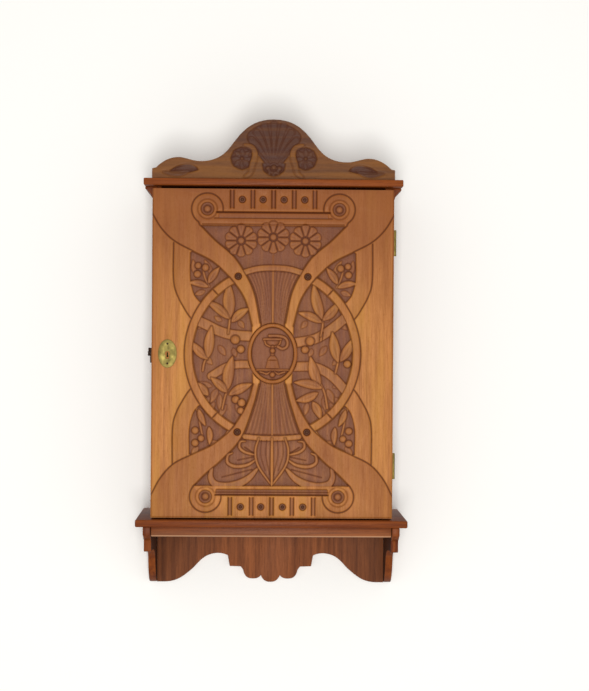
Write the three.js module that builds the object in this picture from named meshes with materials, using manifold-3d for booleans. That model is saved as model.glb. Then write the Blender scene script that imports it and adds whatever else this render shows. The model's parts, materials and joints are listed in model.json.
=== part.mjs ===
// Wall-hung key cabinet with a carved door, in millimetres.
// +X is to the right, -Y is towards the viewer and +Z is up.
// The wall plane is y = 0, the middle is x = 0, and z = 0 is the top face of the base shelf.
import * as THREE from "three";
import { mergeVertices } from "three/addons/utils/BufferGeometryUtils.js";
import Module from "manifold-3d";

const wasm = await Module();
wasm.setup();

// ---------- driving dimensions ----------
const GAP = 0.3; // joint line between two boards that touch

const CASE = { halfWidth: 184, height: 508, board: 12, front: -148.3, back: 9 };
const TOP = { halfWidth: 197.2, front: -176, thick: 10.3 };
const SHELF = { halfWidth: 206.8, front: -180, thick: 11 };
const RAIL = { front: -166, thick: 12, height: 16, round: 6 };
const MOULDING = { wide: 12.6, high: 17, fillet: 3, front: -143 };
const CREST = { front: -166, thick: 14, halfWidth: 185, endHeight: 15, height: 91 };
const CREST_BLOCK = { wide: 60, size: 18, middle: 120 };
const BRACKET = { thick: 11.4 };
const APRON_DROP = 118.5; // bottom of the lower back board below the shelf top

const DOOR = { width: 368, height: 501, thick: 19, bottom: 2.3, back: -149 };
const MEDALLION = { halfWidth: 37.5, halfHeight: 45.5, z: 253, sunk: 3.2, proud: 1.4 };
const HINGE = { x: 186.7, y: -148.65, knuckle: 2.4, bore: 1.15, pin: 1, length: 38 };
const HINGE_LEAF = { thick: 1.2, wide: 10, heights: [422.8, 80.4] };
const LOCK = { x: -159.8, z: 252, left: -169.5, wide: 38, low: 234, high: 36, deep: 11, wall: 1.2 };
const KEYHOLE = { radius: 3, slot: 3, drop: 7 };
const BOLT = { low: 257, high: 8, length: 28.5, thick: 4, front: -145.5 };
const STRIKE = { thick: 1, front: -147, back: -138, low: 250, high: 272, room: 8 };
const LEVER = { pivotX: -137, pivotZ: 259.5, post: 1.5, thick: 1.2, boss: 3.2, tipX: -165 };
const SPRING = { left: -160, right: -136, lift: 3.4, bow: 3, thick: 0.6 };
const ESCUTCHEON = { halfWidth: 14.2, halfHeight: 21.6, thick: 1.2, pinOffset: 15 };
const HOOK = { y: -142, z: 257.5, reach: 16, thick: 2, shank: 1.4, stud: 1.8 };
const KEY_RAIL = { halfWidth: 150, high: 28, thick: 10, heights: [410, 285, 160] };
const KEY_HOOK = { wire: 1.4, out: 24, up: 12, flange: 5, places: [-112.5, -37.5, 37.5, 112.5] };
const HANGER = { x: 120, z: 478, wide: 20, high: 44, thick: 1.8, pocket: 2.4 };
const HANGER_HOLE = { radius: 4.5, drop: 5, neck: 2.3, rise: 8, room: 6.5 };

const FINISH = {
  golden_wood: { color: 0xb07a3e, roughness: 0.5, metalness: 0 },
  red_wood: { color: 0x8c4a2a, roughness: 0.5, metalness: 0 },
  dark_wood: { color: 0x6b3f2e, roughness: 0.55, metalness: 0 },
  inner_wood: { color: 0xa9825a, roughness: 0.7, metalness: 0 },
  brass: { color: 0xa9a060, roughness: 0.35, metalness: 1 },
  iron: { color: 0x4a4038, roughness: 0.5, metalness: 1 },
};

const cabinet = new THREE.Group();

// ---------- small helpers ----------
function add(name, finish, geometry) {
  const mesh = new THREE.Mesh(geometry, new THREE.MeshStandardMaterial(FINISH[finish]));
  mesh.name = name;
  cabinet.add(mesh);
}

function box(low, high) {
  const size = high.map((value, i) => value - low[i]);
  const middle = high.map((value, i) => (value + low[i]) / 2);
  return new THREE.BoxGeometry(...size).translate(...middle);
}

// A round bar along x, y or z, centred on a point.
function bar(axis, radius, length, centre, sides = 20) {
  const geometry = new THREE.CylinderGeometry(radius, radius, length, sides);
  if (axis === "x") geometry.rotateZ(Math.PI / 2);
  if (axis === "z") geometry.rotateX(Math.PI / 2);
  return geometry.translate(...centre);
}

function solid(geometry) {
  const bare = geometry.index ? geometry.toNonIndexed() : geometry.clone();
  bare.deleteAttribute("normal");
  bare.deleteAttribute("uv");
  const merged = mergeVertices(bare, 1e-4);
  const mesh = new wasm.Mesh({
    numProp: 3,
    vertProperties: merged.attributes.position.array,
    triVerts: new Uint32Array(merged.index.array),
  });
  return new wasm.Manifold(mesh);
}

function fromSolid(made) {
  const mesh = made.getMesh();
  const geometry = new THREE.BufferGeometry();
  geometry.setAttribute("position", new THREE.BufferAttribute(mesh.vertProperties, 3));
  geometry.setIndex(new THREE.BufferAttribute(mesh.triVerts, 1));
  return geometry;
}

function cut(body, ...tools) {
  return fromSolid(tools.reduce((left, tool) => left.subtract(solid(tool)), solid(body)));
}

function join(first, ...others) {
  return fromSolid(others.reduce((sum, other) => sum.add(solid(other)), solid(first)));
}

// A front outline, drawn in x and z, made into a board between two depths.
function frontBoard(outline, front, back, curveSegments = 10) {
  const options = { depth: back - front, bevelEnabled: false, curveSegments };
  return new THREE.ExtrudeGeometry(outline, options).rotateX(Math.PI / 2).translate(0, back, 0);
}

// A side outline, drawn in y and z, made into a board between two x values.
function sideBoard(outline, left, right, curveSegments = 10) {
  const options = { depth: right - left, bevelEnabled: false, curveSegments };
  const turn = new THREE.Matrix4().makeBasis(
    new THREE.Vector3(0, 1, 0),
    new THREE.Vector3(0, 0, 1),
    new THREE.Vector3(1, 0, 0),
  );
  return new THREE.ExtrudeGeometry(outline, options).applyMatrix4(turn).translate(left, 0, 0);
}

// A closed outline symmetric about x = 0, from the steps of its right half: each step is a
// point to go straight to, or two handles and a point for a curve.
function mirroredOutline(start, steps) {
  const outline = new THREE.Shape().moveTo(...start);
  let from = start;
  const back = [];
  for (const step of steps) {
    if (step.length === 2) outline.lineTo(...step);
    else outline.bezierCurveTo(...step);
    back.unshift({ step, from });
    from = step.slice(-2);
  }
  outline.lineTo(-from[0], from[1]);
  for (const { step, from: to } of back) {
    if (step.length === 2) outline.lineTo(-to[0], to[1]);
    else outline.bezierCurveTo(-step[2], step[3], -step[0], step[1], -to[0], to[1]);
  }
  return outline;
}

function ellipse(x, z, halfWidth, halfHeight) {
  return new THREE.Shape().absellipse(x, z, halfWidth, halfHeight, 0, 2 * Math.PI);
}

// ---------- the case ----------
function makeBackBoard() {
  const low = -APRON_DROP;
  const half = CASE.halfWidth - 2 * GAP;
  const outline = mirroredOutline([0, low], [
    [8, low, 12, low + 3, 15.5, low + 11],
    [18, low + 7, 22, low + 5, 30, low + 5.5],
    [37, low + 5.5, 42, low + 9, 44, low + 19.5],
    [48, low + 25],
    [66, low + 25.5],
    [69, low + 43],
    [75, low + 46, 82, low + 47, 88, low + 46.5],
    [112, low + 44, 118, low + 27, 129, low + 19],
    [142, low + 8, 152, low, 172, low],
    [half, low],
    [half, CASE.height - GAP],
  ]);
  const board = frontBoard(outline, -CASE.back, 0);
  const pockets = [-1, 1].flatMap((side) => {
    const x = side * HANGER.x;
    const { z, wide, high, pocket } = HANGER;
    const half = wide / 2 + GAP;
    const tall = high / 2 + GAP;
    const { radius, drop, rise, room } = HANGER_HOLE;
    const head = radius + 1.5;
    return [
      box([x - half, -pocket, z - tall], [x + half, 1, z + tall]),
      box([x - head, -room, z - drop - head], [x + head, 1, z + rise + drop]),
    ];
  });
  add("back_board", "dark_wood", cut(board, ...pockets));
}

function makeHangerPlates() {
  const { wide, high, thick, z } = HANGER;
  const { radius, drop, neck: half, rise } = HANGER_HOLE;
  for (const [name, x] of [["left", -HANGER.x], ["right", HANGER.x]]) {
    const plate = box([x - wide / 2, -thick - GAP, z - high / 2], [x + wide / 2, -GAP, z + high / 2]);
    const head = bar("y", radius, 4, [x, -1, z - drop], 24);
    const neck = box([x - half, -3, z - drop], [x + half, 1, z + rise]);
    add(`hanger_plate_${name}`, "brass", cut(plate, head, neck));
  }
}

function hingeMortise(height, front, back) {
  const half = HINGE.length / 2 + GAP;
  const left = CASE.halfWidth - HINGE_LEAF.wide - GAP;
  return box([left, front, height - half], [CASE.halfWidth + 1, back, height + half]);
}

function makeSides() {
  const inner = CASE.halfWidth - CASE.board;
  const back = -CASE.back - GAP;
  const low = [inner, CASE.front, GAP];
  const high = [CASE.halfWidth, back, CASE.height - GAP];
  const mortises = HINGE_LEAF.heights.map((z) => hingeMortise(z, CASE.front - 1, CASE.front + 1.3));
  add("side_right", "red_wood", cut(box(low, high), ...mortises));

  const left = box([-CASE.halfWidth, low[1], low[2]], [-inner, back, high[2]]);
  const plateRoom = box(
    [-inner - STRIKE.thick - 0.4, STRIKE.front - GAP, STRIKE.low - GAP],
    [-inner + 1, STRIKE.back + GAP, STRIKE.high + GAP],
  );
  add("side_left", "red_wood", cut(left, plateRoom, boltRoom(inner, STRIKE.room, 1)));
}

// The space that the bolt slides into, with some room round it.
function boltRoom(inner, depth, room) {
  const front = BOLT.front - 0.5;
  const back = BOLT.front + BOLT.thick + 0.5;
  return box([-inner - depth, front, BOLT.low - room], [-inner + 1, back, BOLT.low + BOLT.high + room]);
}

function makeStrikePlate() {
  const { thick, front, back, low, high } = STRIKE;
  const face = -(CASE.halfWidth - CASE.board) - 0.1;
  const plate = box([face - thick, front, low], [face, back, high]);
  add("strike_plate", "brass", cut(plate, boltRoom(-face, 3, 0.6)));
}

function makeTopBoard() {
  const low = [-TOP.halfWidth, TOP.front, CASE.height];
  const high = [TOP.halfWidth, 0, CASE.height + TOP.thick];
  add("top_board", "red_wood", box(low, high));
}

function makeBaseShelf() {
  const board = box([-SHELF.halfWidth, SHELF.front, -SHELF.thick], [SHELF.halfWidth, 0, 0]);
  const notch = box([-CASE.halfWidth, -CASE.back - GAP, -SHELF.thick - 1], [CASE.halfWidth, 1, 1]);
  add("base_shelf", "red_wood", cut(board, notch));
}

function makeFrontRail() {
  const top = -SHELF.thick - GAP;
  const low = top - RAIL.height;
  const back = RAIL.front + RAIL.thick;
  const half = CASE.halfWidth - 2 * GAP;
  const profile = new THREE.Shape().moveTo(RAIL.front, top);
  profile.lineTo(RAIL.front, low + RAIL.round);
  profile.absarc(RAIL.front + RAIL.round, low + RAIL.round, RAIL.round, Math.PI, 1.5 * Math.PI, false);
  profile.lineTo(back, low);
  profile.lineTo(back, top);
  add("front_rail", "red_wood", sideBoard(profile, -half, half));
}

// Hollow moulding under each end of the top board; its front stops short of the door's swing.
function makeSideMouldings() {
  const top = CASE.height - GAP;
  const low = top - MOULDING.high;
  for (const [name, side] of [["left", -1], ["right", 1]]) {
    const inner = side * (CASE.halfWidth + GAP);
    const outer = side * (CASE.halfWidth + GAP + MOULDING.wide);
    const profile = new THREE.Shape().moveTo(inner, low);
    profile.lineTo(inner, top);
    profile.lineTo(outer, top);
    profile.lineTo(outer, top - MOULDING.fillet);
    profile.quadraticCurveTo(inner + side * 4.5, top - 6, inner + side * 2, low);
    add(`side_moulding_${name}`, "red_wood", frontBoard(profile, MOULDING.front, -GAP));
  }
}

function makeCrest() {
  const base = CASE.height + TOP.thick + GAP;
  const end = base + CREST.endHeight;
  const outline = mirroredOutline([0, base], [
    [CREST.halfWidth, base],
    [CREST.halfWidth, end],
    [CREST.halfWidth - 6, end + 1.5],
    [172, end + 9, 160, end + 17.5, 145, end + 17.5],
    [134, end + 17.5, 125, end + 11.7, 112, end + 11.7],
    [94, end + 11.7, 79, end + 17, 66.5, end + 33.5],
    [51, end + 54, 37, base + CREST.height, 0, base + CREST.height],
  ]);
  const back = CREST.front + CREST.thick;
  add("crest_board", "dark_wood", frontBoard(outline, CREST.front, back, 12));
  for (const [name, side] of [["left", -1], ["right", 1]]) {
    const middle = side * CREST_BLOCK.middle;
    const profile = new THREE.Shape().moveTo(back + GAP, base);
    profile.lineTo(back + GAP + CREST_BLOCK.size, base);
    profile.lineTo(back + GAP, base + CREST_BLOCK.size);
    const half = CREST_BLOCK.wide / 2;
    add(`crest_block_${name}`, "inner_wood", sideBoard(profile, middle - half, middle + half));
  }
}

// Side bracket: a stepped and hollowed board that runs back to the wall at its foot.
function makeBrackets() {
  const top = -SHELF.thick - GAP;
  const profile = new THREE.Shape().moveTo(0, top);
  profile.lineTo(0, -APRON_DROP);
  profile.lineTo(-5, -APRON_DROP);
  profile.bezierCurveTo(-22, -117, -42, -100, -49, -78);
  profile.bezierCurveTo(-54, -60, -90, -53, -148, -52);
  profile.lineTo(-150, -50);
  profile.lineTo(-151, -34);
  profile.bezierCurveTo(-156, -33, -166, -28, -168, -24.2);
  profile.lineTo(-176, -24.2);
  profile.lineTo(-176, top);
  const inner = CASE.halfWidth - GAP;
  const outer = inner + BRACKET.thick;
  add("bracket_left", "red_wood", sideBoard(profile, -outer, -inner));
  add("bracket_right", "red_wood", sideBoard(profile, inner, outer));
}

// ---------- the door ----------
function keyholeTools(front, back, grow = 0) {
  const { radius, slot, drop } = KEYHOLE;
  const round = bar("y", radius + grow, back - front, [LOCK.x, (front + back) / 2, LOCK.z], 24);
  const half = slot / 2 + grow;
  const low = LOCK.z - drop - grow;
  return [round, box([LOCK.x - half, front, low], [LOCK.x + half, back, LOCK.z])];
}

function makeDoorPanel() {
  const half = DOOR.width / 2;
  const front = DOOR.back - DOOR.thick;
  const panel = box([-half, front, DOOR.bottom], [half, DOOR.back, DOOR.bottom + DOOR.height]);
  const { halfWidth, halfHeight, z, sunk } = MEDALLION;
  const pocket = ellipse(0, z, halfWidth + GAP, halfHeight + GAP);
  const seat = frontBoard(pocket, front - 1, front + sunk + GAP, 24);
  const mortises = HINGE_LEAF.heights.map((height) => {
    return hingeMortise(height, DOOR.back - 1.3, DOOR.back + 1);
  });
  const keyhole = keyholeTools(front - 1, DOOR.back + 1);
  add("door_panel", "golden_wood", cut(panel, seat, ...mortises, ...keyhole));
}

// Oval plaque with a raised rim, a sunk field and a footed cup on it.
function makeMedallion() {
  const front = DOOR.back - DOOR.thick;
  const { halfWidth, halfHeight, z, sunk, proud } = MEDALLION;
  const plaque = frontBoard(ellipse(0, z, halfWidth, halfHeight), front - proud, front + sunk, 24);
  const rim = 4.5;
  const field = ellipse(0, z, halfWidth - rim, halfHeight - rim);
  const hollow = frontBoard(field, front - proud - 1, front + 0.6, 24);
  const cup = [
    new THREE.Vector2(0, -24),
    new THREE.Vector2(9, -24),
    new THREE.Vector2(2.4, -12),
    new THREE.Vector2(2.4, 2),
    new THREE.Vector2(12, 9),
    new THREE.Vector2(14, 20),
    new THREE.Vector2(0, 20),
  ];
  const goblet = new THREE.LatheGeometry(cup, 24).rotateX(Math.PI / 2);
  goblet.scale(1, 0.12, 1).translate(0, front + 0.8, z);
  add("door_medallion", "golden_wood", join(cut(plaque, hollow), goblet));
}

function makeEscutcheon() {
  const back = DOOR.back - DOOR.thick - GAP;
  const front = back - ESCUTCHEON.thick;
  const { halfWidth, halfHeight, pinOffset } = ESCUTCHEON;
  const plate = frontBoard(ellipse(LOCK.x, LOCK.z, halfWidth, halfHeight), front, back, 16);
  const hole = keyholeTools(front - 1, back + 1, 0.8);
  add("escutcheon", "brass", cut(plate, ...hole));
  const places = [["top", pinOffset], ["bottom", -pinOffset]];
  const dome = [[0, -1], [0.9, -0.85], [1.4, -0.45], [1.6, 0], [0, 0]];
  for (const [name, offset] of places) {
    const profile = dome.map(([radius, y]) => new THREE.Vector2(radius, y));
    const head = new THREE.LatheGeometry(profile, 14);
    add(`escutcheon_pin_${name}`, "brass", head.translate(LOCK.x, front - GAP, LOCK.z + offset));
  }
}

// ---------- hinges ----------
const KNUCKLES = [[-19, -6.6], [-6.3, 6.3], [6.6, 19]];

function hingeLeaf(height, own, front) {
  const { x, y, knuckle, bore, length } = HINGE;
  const edge = CASE.halfWidth - 0.1;
  const left = CASE.halfWidth - HINGE_LEAF.wide;
  const back = front + HINGE_LEAF.thick;
  const plate = box([left, front, height - length / 2], [edge, back, height + length / 2]);
  const parts = own.flatMap((index) => {
    const [low, high] = KNUCKLES[index];
    const middle = height + (low + high) / 2;
    const tab = box([edge - 1, front, height + low], [x - bore - 0.2, back, height + high]);
    return [tab, bar("z", knuckle, high - low, [x, y, middle])];
  });
  const whole = join(plate, ...parts);
  return cut(whole, bar("z", bore, length + 2, [x, y, height]));
}

function makeHinges() {
  const names = ["top", "bottom"];
  HINGE_LEAF.heights.forEach((height, i) => {
    const caseLeaf = hingeLeaf(height, [0, 2], HINGE.y + 0.15);
    const doorLeaf = hingeLeaf(height, [1], HINGE.y - 0.15 - HINGE_LEAF.thick);
    add(`hinge_${names[i]}_case_leaf`, "brass", caseLeaf);
    add(`hinge_${names[i]}_door_leaf`, "brass", doorLeaf);
    const shaft = bar("z", HINGE.pin, HINGE.length + 1, [HINGE.x, HINGE.y, height + 0.5]);
    const head = bar("z", HINGE.knuckle - 0.3, 1.6, [HINGE.x, HINGE.y, height + HINGE.length / 2 + 1.1]);
    add(`hinge_${names[i]}_pin`, "brass", join(shaft, head));
  });
}

// ---------- lock ----------
const LOCK_FRONT = DOOR.back + GAP;
const LOCK_BACK = LOCK_FRONT + LOCK.deep;
const LEVER_FRONT = BOLT.front + BOLT.thick + GAP;

function makeLockCase() {
  const { left, wide, low, high, wall } = LOCK;
  const cap = LOCK_BACK - wall - GAP;
  const block = box([left, LOCK_FRONT, low], [left + wide, cap, low + high]);
  const hollow = box(
    [left + wall, LOCK_FRONT + wall, low + wall],
    [left + wide - wall, cap + 1, low + high - wall],
  );
  const mouth = box(
    [left - 1, BOLT.front - GAP, BOLT.low - GAP],
    [left + wall + 1, BOLT.front + BOLT.thick + GAP, BOLT.low + BOLT.high + GAP],
  );
  const shell = cut(block, hollow, mouth, ...keyholeTools(LOCK_FRONT - 1, LOCK_FRONT + wall + 1));
  const deep = cap - LOCK_FRONT - wall;
  const post = bar("y", LEVER.post, deep, [LEVER.pivotX, cap - deep / 2, LEVER.pivotZ], 16);
  add("lock_case", "brass", join(shell, post));
}

function makeLockCap() {
  const { left, wide, low, high, wall } = LOCK;
  add("lock_cap", "brass", box([left, LOCK_BACK - wall, low], [left + wide, LOCK_BACK, low + high]));
  const corners = [["upper", left + wide - 4, low + high - 4], ["lower", left + 4, low + 4]];
  for (const [name, x, z] of corners) {
    const head = bar("y", 2.2, 0.8, [x, LOCK_BACK + GAP + 0.4, z], 16);
    const slot = box([x - 3, LOCK_BACK + GAP + 0.5, z - 0.3], [x + 3, LOCK_BACK + 3, z + 0.3]);
    add(`lock_cap_screw_${name}`, "brass", cut(head, slot));
  }
}

function makeLockBolt() {
  const left = LOCK.left + GAP;
  const back = BOLT.front + BOLT.thick;
  const head = box([left, BOLT.front, BOLT.low], [left + BOLT.length, back, BOLT.low + BOLT.high]);
  const talon = box([LOCK.x + 1, BOLT.front - 1, BOLT.low - 1], [LOCK.x + 7, back + 1, BOLT.low + 2.5]);
  add("lock_bolt", "brass", cut(head, talon));
}

// The lever lies behind the bolt, swings on the post and is pressed down by the spring.
function makeLockLever() {
  const { pivotX, pivotZ, post, thick, boss, tipX } = LEVER;
  const arm = new THREE.Shape().moveTo(pivotX, pivotZ - boss);
  arm.absarc(pivotX, pivotZ, boss, -Math.PI / 2, Math.PI / 2, false);
  arm.lineTo(tipX + 3, pivotZ + 2.5);
  arm.lineTo(tipX, pivotZ);
  arm.lineTo(tipX, pivotZ - 4);
  arm.quadraticCurveTo(tipX + 7, pivotZ - 1.5, tipX + 15, pivotZ - boss);
  const plate = frontBoard(arm, LEVER_FRONT, LEVER_FRONT + thick, 8);
  const hole = bar("y", post + 0.08, thick + 2, [pivotX, LEVER_FRONT + thick / 2, pivotZ], 16);
  add("lock_lever", "brass", cut(plate, hole));
}

function makeLeverSpring() {
  const { left, right, lift, bow, thick } = SPRING;
  const low = LEVER.pivotZ + lift;
  const middle = (left + right) / 2;
  const ribbon = new THREE.Shape().moveTo(right, low + bow - 1);
  ribbon.quadraticCurveTo(middle, low + bow, left, low - thick / 2);
  ribbon.lineTo(left, low + thick / 2);
  ribbon.quadraticCurveTo(middle, low + bow + thick, right, low + bow - 1 + thick);
  add("lever_spring", "iron", frontBoard(ribbon, LEVER_FRONT, LEVER_FRONT + LEVER.thick, 8));
}

// ---------- side hook ----------
// A flat hook hangs from a screw in the left side; swung back and over the top, its tip
// drops in front of the stud in the edge of the door.
function makeSideHook() {
  const { y, z, reach, thick, shank, stud } = HOOK;
  const face = -CASE.halfWidth - GAP;
  const armOut = face - 1.4;
  const armBack = armOut - thick;
  const half = 2;
  const tip = z - reach - stud - GAP;
  const arm = new THREE.Shape().moveTo(y - half, z);
  arm.absarc(y, z, 3, Math.PI, 0, true);
  arm.lineTo(y + half, z - 5);
  arm.lineTo(y + half, tip);
  arm.lineTo(y + half + 4.2, tip);
  arm.quadraticCurveTo(y + half + 4.6, tip - 1.6, y + half + 2, tip - 2);
  arm.quadraticCurveTo(y - half, tip - 2.2, y - half, tip + 2.5);
  const plate = sideBoard(arm, armBack, armOut, 8);
  const knob = new THREE.SphereGeometry(2.2, 14, 10).translate(armBack - 1.7, y, z - 7.5);
  const hole = bar("x", shank + 0.08, 8, [armOut, y, z], 16);
  add("hook_arm", "iron", cut(join(plate, knob), hole));

  const length = 1.4 + thick + GAP;
  const post = bar("x", shank, length, [face - length / 2, y, z], 16);
  const head = bar("x", 3.2, 2.4, [face - length - 1.2, y, z], 16);
  const washer = bar("x", 3.4, 1.1, [face - 0.55, y, z], 16);
  add("hook_screw", "iron", join(post, head, washer));

  const studY = y - reach;
  const studZ = z - half - GAP - stud;
  const stem = bar("x", stud - GAP, 4.4, [face - 2.2, studY, studZ], 16);
  const cap = bar("x", stud + 0.6, 1.2, [face - 5, studY, studZ], 16);
  add("hook_stud", "iron", join(stem, cap));
}

// ---------- key rails ----------
function makeKeyRails() {
  const back = -CASE.back - GAP;
  const front = back - KEY_RAIL.thick;
  const names = ["upper", "middle", "lower"];
  KEY_RAIL.heights.forEach((z, row) => {
    const half = KEY_RAIL.high / 2;
    const rail = box([-KEY_RAIL.halfWidth, front, z - half], [KEY_RAIL.halfWidth, back, z + half]);
    add(`key_rail_${names[row]}`, "inner_wood", rail);
    KEY_HOOK.places.forEach((x, i) => {
      add(`key_hook_${names[row]}_${i + 1}`, "brass", keyHook(x, front - GAP, z));
    });
  });
}

// Square-bent screw hook: a flange, a shank straight out and an upright end.
function keyHook(x, face, z) {
  const { wire, out, up, flange } = KEY_HOOK;
  const plate = bar("y", flange, 1.4, [x, face - 0.7, z], 20);
  const shank = bar("y", wire, out, [x, face - out / 2, z], 12);
  const upright = bar("z", wire, up + wire, [x, face - out + wire, z + (up - wire) / 2], 12);
  return join(plate, shank, upright);
}

makeBackBoard();
makeHangerPlates();
makeSides();
makeStrikePlate();
makeTopBoard();
makeBaseShelf();
makeFrontRail();
makeSideMouldings();
makeCrest();
makeBrackets();
makeDoorPanel();
makeMedallion();
makeEscutcheon();
makeHinges();
makeLockCase();
makeLockCap();
makeLockBolt();
makeLockLever();
makeLeverSpring();
makeSideHook();
makeKeyRails();

export default cabinet;
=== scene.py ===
"""Wall-hung key cabinet with a carved door: its looks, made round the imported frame.

Sizes in the settings are in metres, as Blender's are. The carving is drawn in millimetres,
with x from the middle of the board and z as in the frame, and 0 is the board's own face."""
import json
import math

import bmesh
import bpy
import numpy as np
from mathutils import Matrix, Vector

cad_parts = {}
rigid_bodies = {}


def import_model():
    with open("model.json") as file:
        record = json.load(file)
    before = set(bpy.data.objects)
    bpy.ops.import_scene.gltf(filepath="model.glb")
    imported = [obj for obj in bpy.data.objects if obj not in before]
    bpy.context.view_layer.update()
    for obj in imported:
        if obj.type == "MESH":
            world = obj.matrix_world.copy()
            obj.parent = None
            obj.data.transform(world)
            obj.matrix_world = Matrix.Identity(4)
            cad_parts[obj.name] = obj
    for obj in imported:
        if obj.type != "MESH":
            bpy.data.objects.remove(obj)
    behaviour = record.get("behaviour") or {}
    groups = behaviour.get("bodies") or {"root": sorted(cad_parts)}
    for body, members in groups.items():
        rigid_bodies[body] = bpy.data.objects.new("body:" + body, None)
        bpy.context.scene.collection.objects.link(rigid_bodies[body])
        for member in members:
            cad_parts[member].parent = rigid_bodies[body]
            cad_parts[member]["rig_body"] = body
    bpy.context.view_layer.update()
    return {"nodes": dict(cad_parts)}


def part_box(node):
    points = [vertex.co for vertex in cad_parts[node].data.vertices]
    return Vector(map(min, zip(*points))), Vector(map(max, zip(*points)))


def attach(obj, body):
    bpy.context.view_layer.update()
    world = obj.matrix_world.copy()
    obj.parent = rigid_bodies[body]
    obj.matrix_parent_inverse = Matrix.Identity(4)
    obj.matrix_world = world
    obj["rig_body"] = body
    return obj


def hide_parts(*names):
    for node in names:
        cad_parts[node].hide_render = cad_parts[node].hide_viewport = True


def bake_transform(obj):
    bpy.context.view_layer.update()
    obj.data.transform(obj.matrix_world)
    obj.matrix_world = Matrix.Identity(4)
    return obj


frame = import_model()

bl_info = {
    "name": "Key Cabinet",
    "version": (1, 0, 0),
    "blender": (4, 5, 0),
    "location": "3D View > Sidebar > Key Cabinet",
    "description": "Builds a carved key cabinet's boards, carving, hardware and stage round its frame",
    "category": "Object",
}

MM = 0.001
NODES = frame["nodes"]
DOOR_LOW, DOOR_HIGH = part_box("door_panel")
MEDAL_LOW, MEDAL_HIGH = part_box("door_medallion")
CREST_LOW, CREST_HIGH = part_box("crest_board")
PLATE_LOW, PLATE_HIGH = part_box("escutcheon")


# ---------- settings ----------
def size(name, description, default):
    """A length in metres that a user can change."""
    return bpy.props.FloatProperty(
        name=name, description=description, default=default, subtype="DISTANCE", unit="LENGTH"
    )


def angle(name, description, degrees):
    """A turn that a user can change."""
    return bpy.props.FloatProperty(
        name=name, description=description, default=math.radians(degrees), subtype="ANGLE"
    )


def tint(name, description, default):
    """A colour as sRGB hex digits."""
    return bpy.props.StringProperty(name=name, description=description, default=default)


class StageSettings(bpy.types.PropertyGroup):
    """The camera, the light and the room."""

    eye: bpy.props.FloatVectorProperty(
        name="Eye",
        description="Where the camera stands",
        default=(-0.0183, -2.6118, 0.2722),
        unit="LENGTH",
    )
    yaw: angle("Yaw", "Turn of the camera to the right", 1.21)
    pitch: angle("Pitch", "Tilt of the camera upwards", -0.155)
    roll: angle("Roll", "Turn about the line of sight", 0.398)
    lens: bpy.props.FloatProperty(
        name="Lens", description="Focal length in millimetres on a 36 mm sensor", default=83.64
    )
    wall_half: size("Wall half width", "Half the width and height of the wall", 4.0)
    floor_drop: size("Floor depth", "How far the floor lies below the shelf", 1.4)
    light_distance: size("Light distance", "How far in front of the wall the soft light stands", 2.95)
    light_width: size("Light width", "Width of the soft light", 0.5)
    light_height: size("Light height", "Height of the soft light", 1.2)
    light_power: bpy.props.FloatProperty(
        name="Light power", description="Power of the soft light", default=50.0, unit="POWER"
    )
    sky: bpy.props.FloatProperty(
        name="Sky", description="Strength of the even light all round", default=0.58
    )


class CarvingSettings(bpy.types.PropertyGroup):
    """How finely and how deeply the boards are carved."""

    door_step: size("Door grid", "Distance between the height points of the door", 0.8 * MM)
    crest_step: size("Crest grid", "Distance between the height points of the crest", 0.8 * MM)
    medal_step: size("Medallion grid", "Distance between the height points of the medallion", 0.5 * MM)
    ground: size("Ground depth", "How deep the sunk ground lies below the face", 3.2 * MM)
    line_width: size("Line width", "Width of the incised outlines", 2.5 * MM)
    line_depth: size("Line depth", "Depth of the incised outlines", 1.1 * MM)
    most_faces: bpy.props.IntProperty(
        name="Most triangles", description="Triangles that a carved board keeps", default=190000
    )


class FinishSettings(bpy.types.PropertyGroup):
    """The colours of the woods and metals."""

    field: tint("Field", "Waxed face of the door", "#C38042")
    field_deep: tint("Field, deep", "Darker figure in the door", "#8C521F")
    gold: tint("Gold", "Golden patches in the waxed wood", "#B67C30")
    ribbon: tint("Ribbon", "Warmer wood of the raised bands", "#804419")
    ground: tint("Ground", "Stained sunk ground of the carving", "#7E4C34")
    line: tint("Line", "Dirt and stain in the incised lines", "#4E2410")
    red: tint("Red wood", "Stained boards of the case", "#884517")
    red_deep: tint("Red wood, deep", "Darker figure in the case boards", "#501F0D")
    crest: tint("Crest", "Stained face of the crest", "#7C4C20")
    crest_deep: tint("Crest, deep", "Darker figure in the crest", "#54331E")
    crest_ground: tint("Crest ground", "Stained sunk ground of the crest", "#4A2E26")
    crest_gold: tint("Crest gold", "Golden patches in the crest", "#86541E")
    # Painted highlight: the pale colour laid along the front rail's lower lip, and more faintly over the
    # lower part of the rail's face.
    worn_and_highlit: tint("Worn lip", "Pale wood where an edge has rubbed bare", "#E2B088")
    # Painted shade: the dark colour laid on the brackets' inner faces and towards the ends of the back
    # board.
    painted_shade: tint("Grime", "Dark old wax in the shade of the brackets", "#281A16")
    apron: tint("Back board", "Stained face of the back board", "#93552F")
    apron_deep: tint("Back board, deep", "Darker figure in the back board", "#5A2F1A")
    inner: tint("Inner wood", "Bare softwood of the rails inside", "#B08A5C")
    inner_deep: tint("Inner wood, deep", "Darker figure in the inner wood", "#8C6238")
    brass: tint("Brass", "Aged brass", "#94854A")
    tarnish: tint("Tarnish", "Tarnish on the brass", "#6A6038")
    iron: tint("Iron", "Browned iron", "#3E352E")


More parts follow.
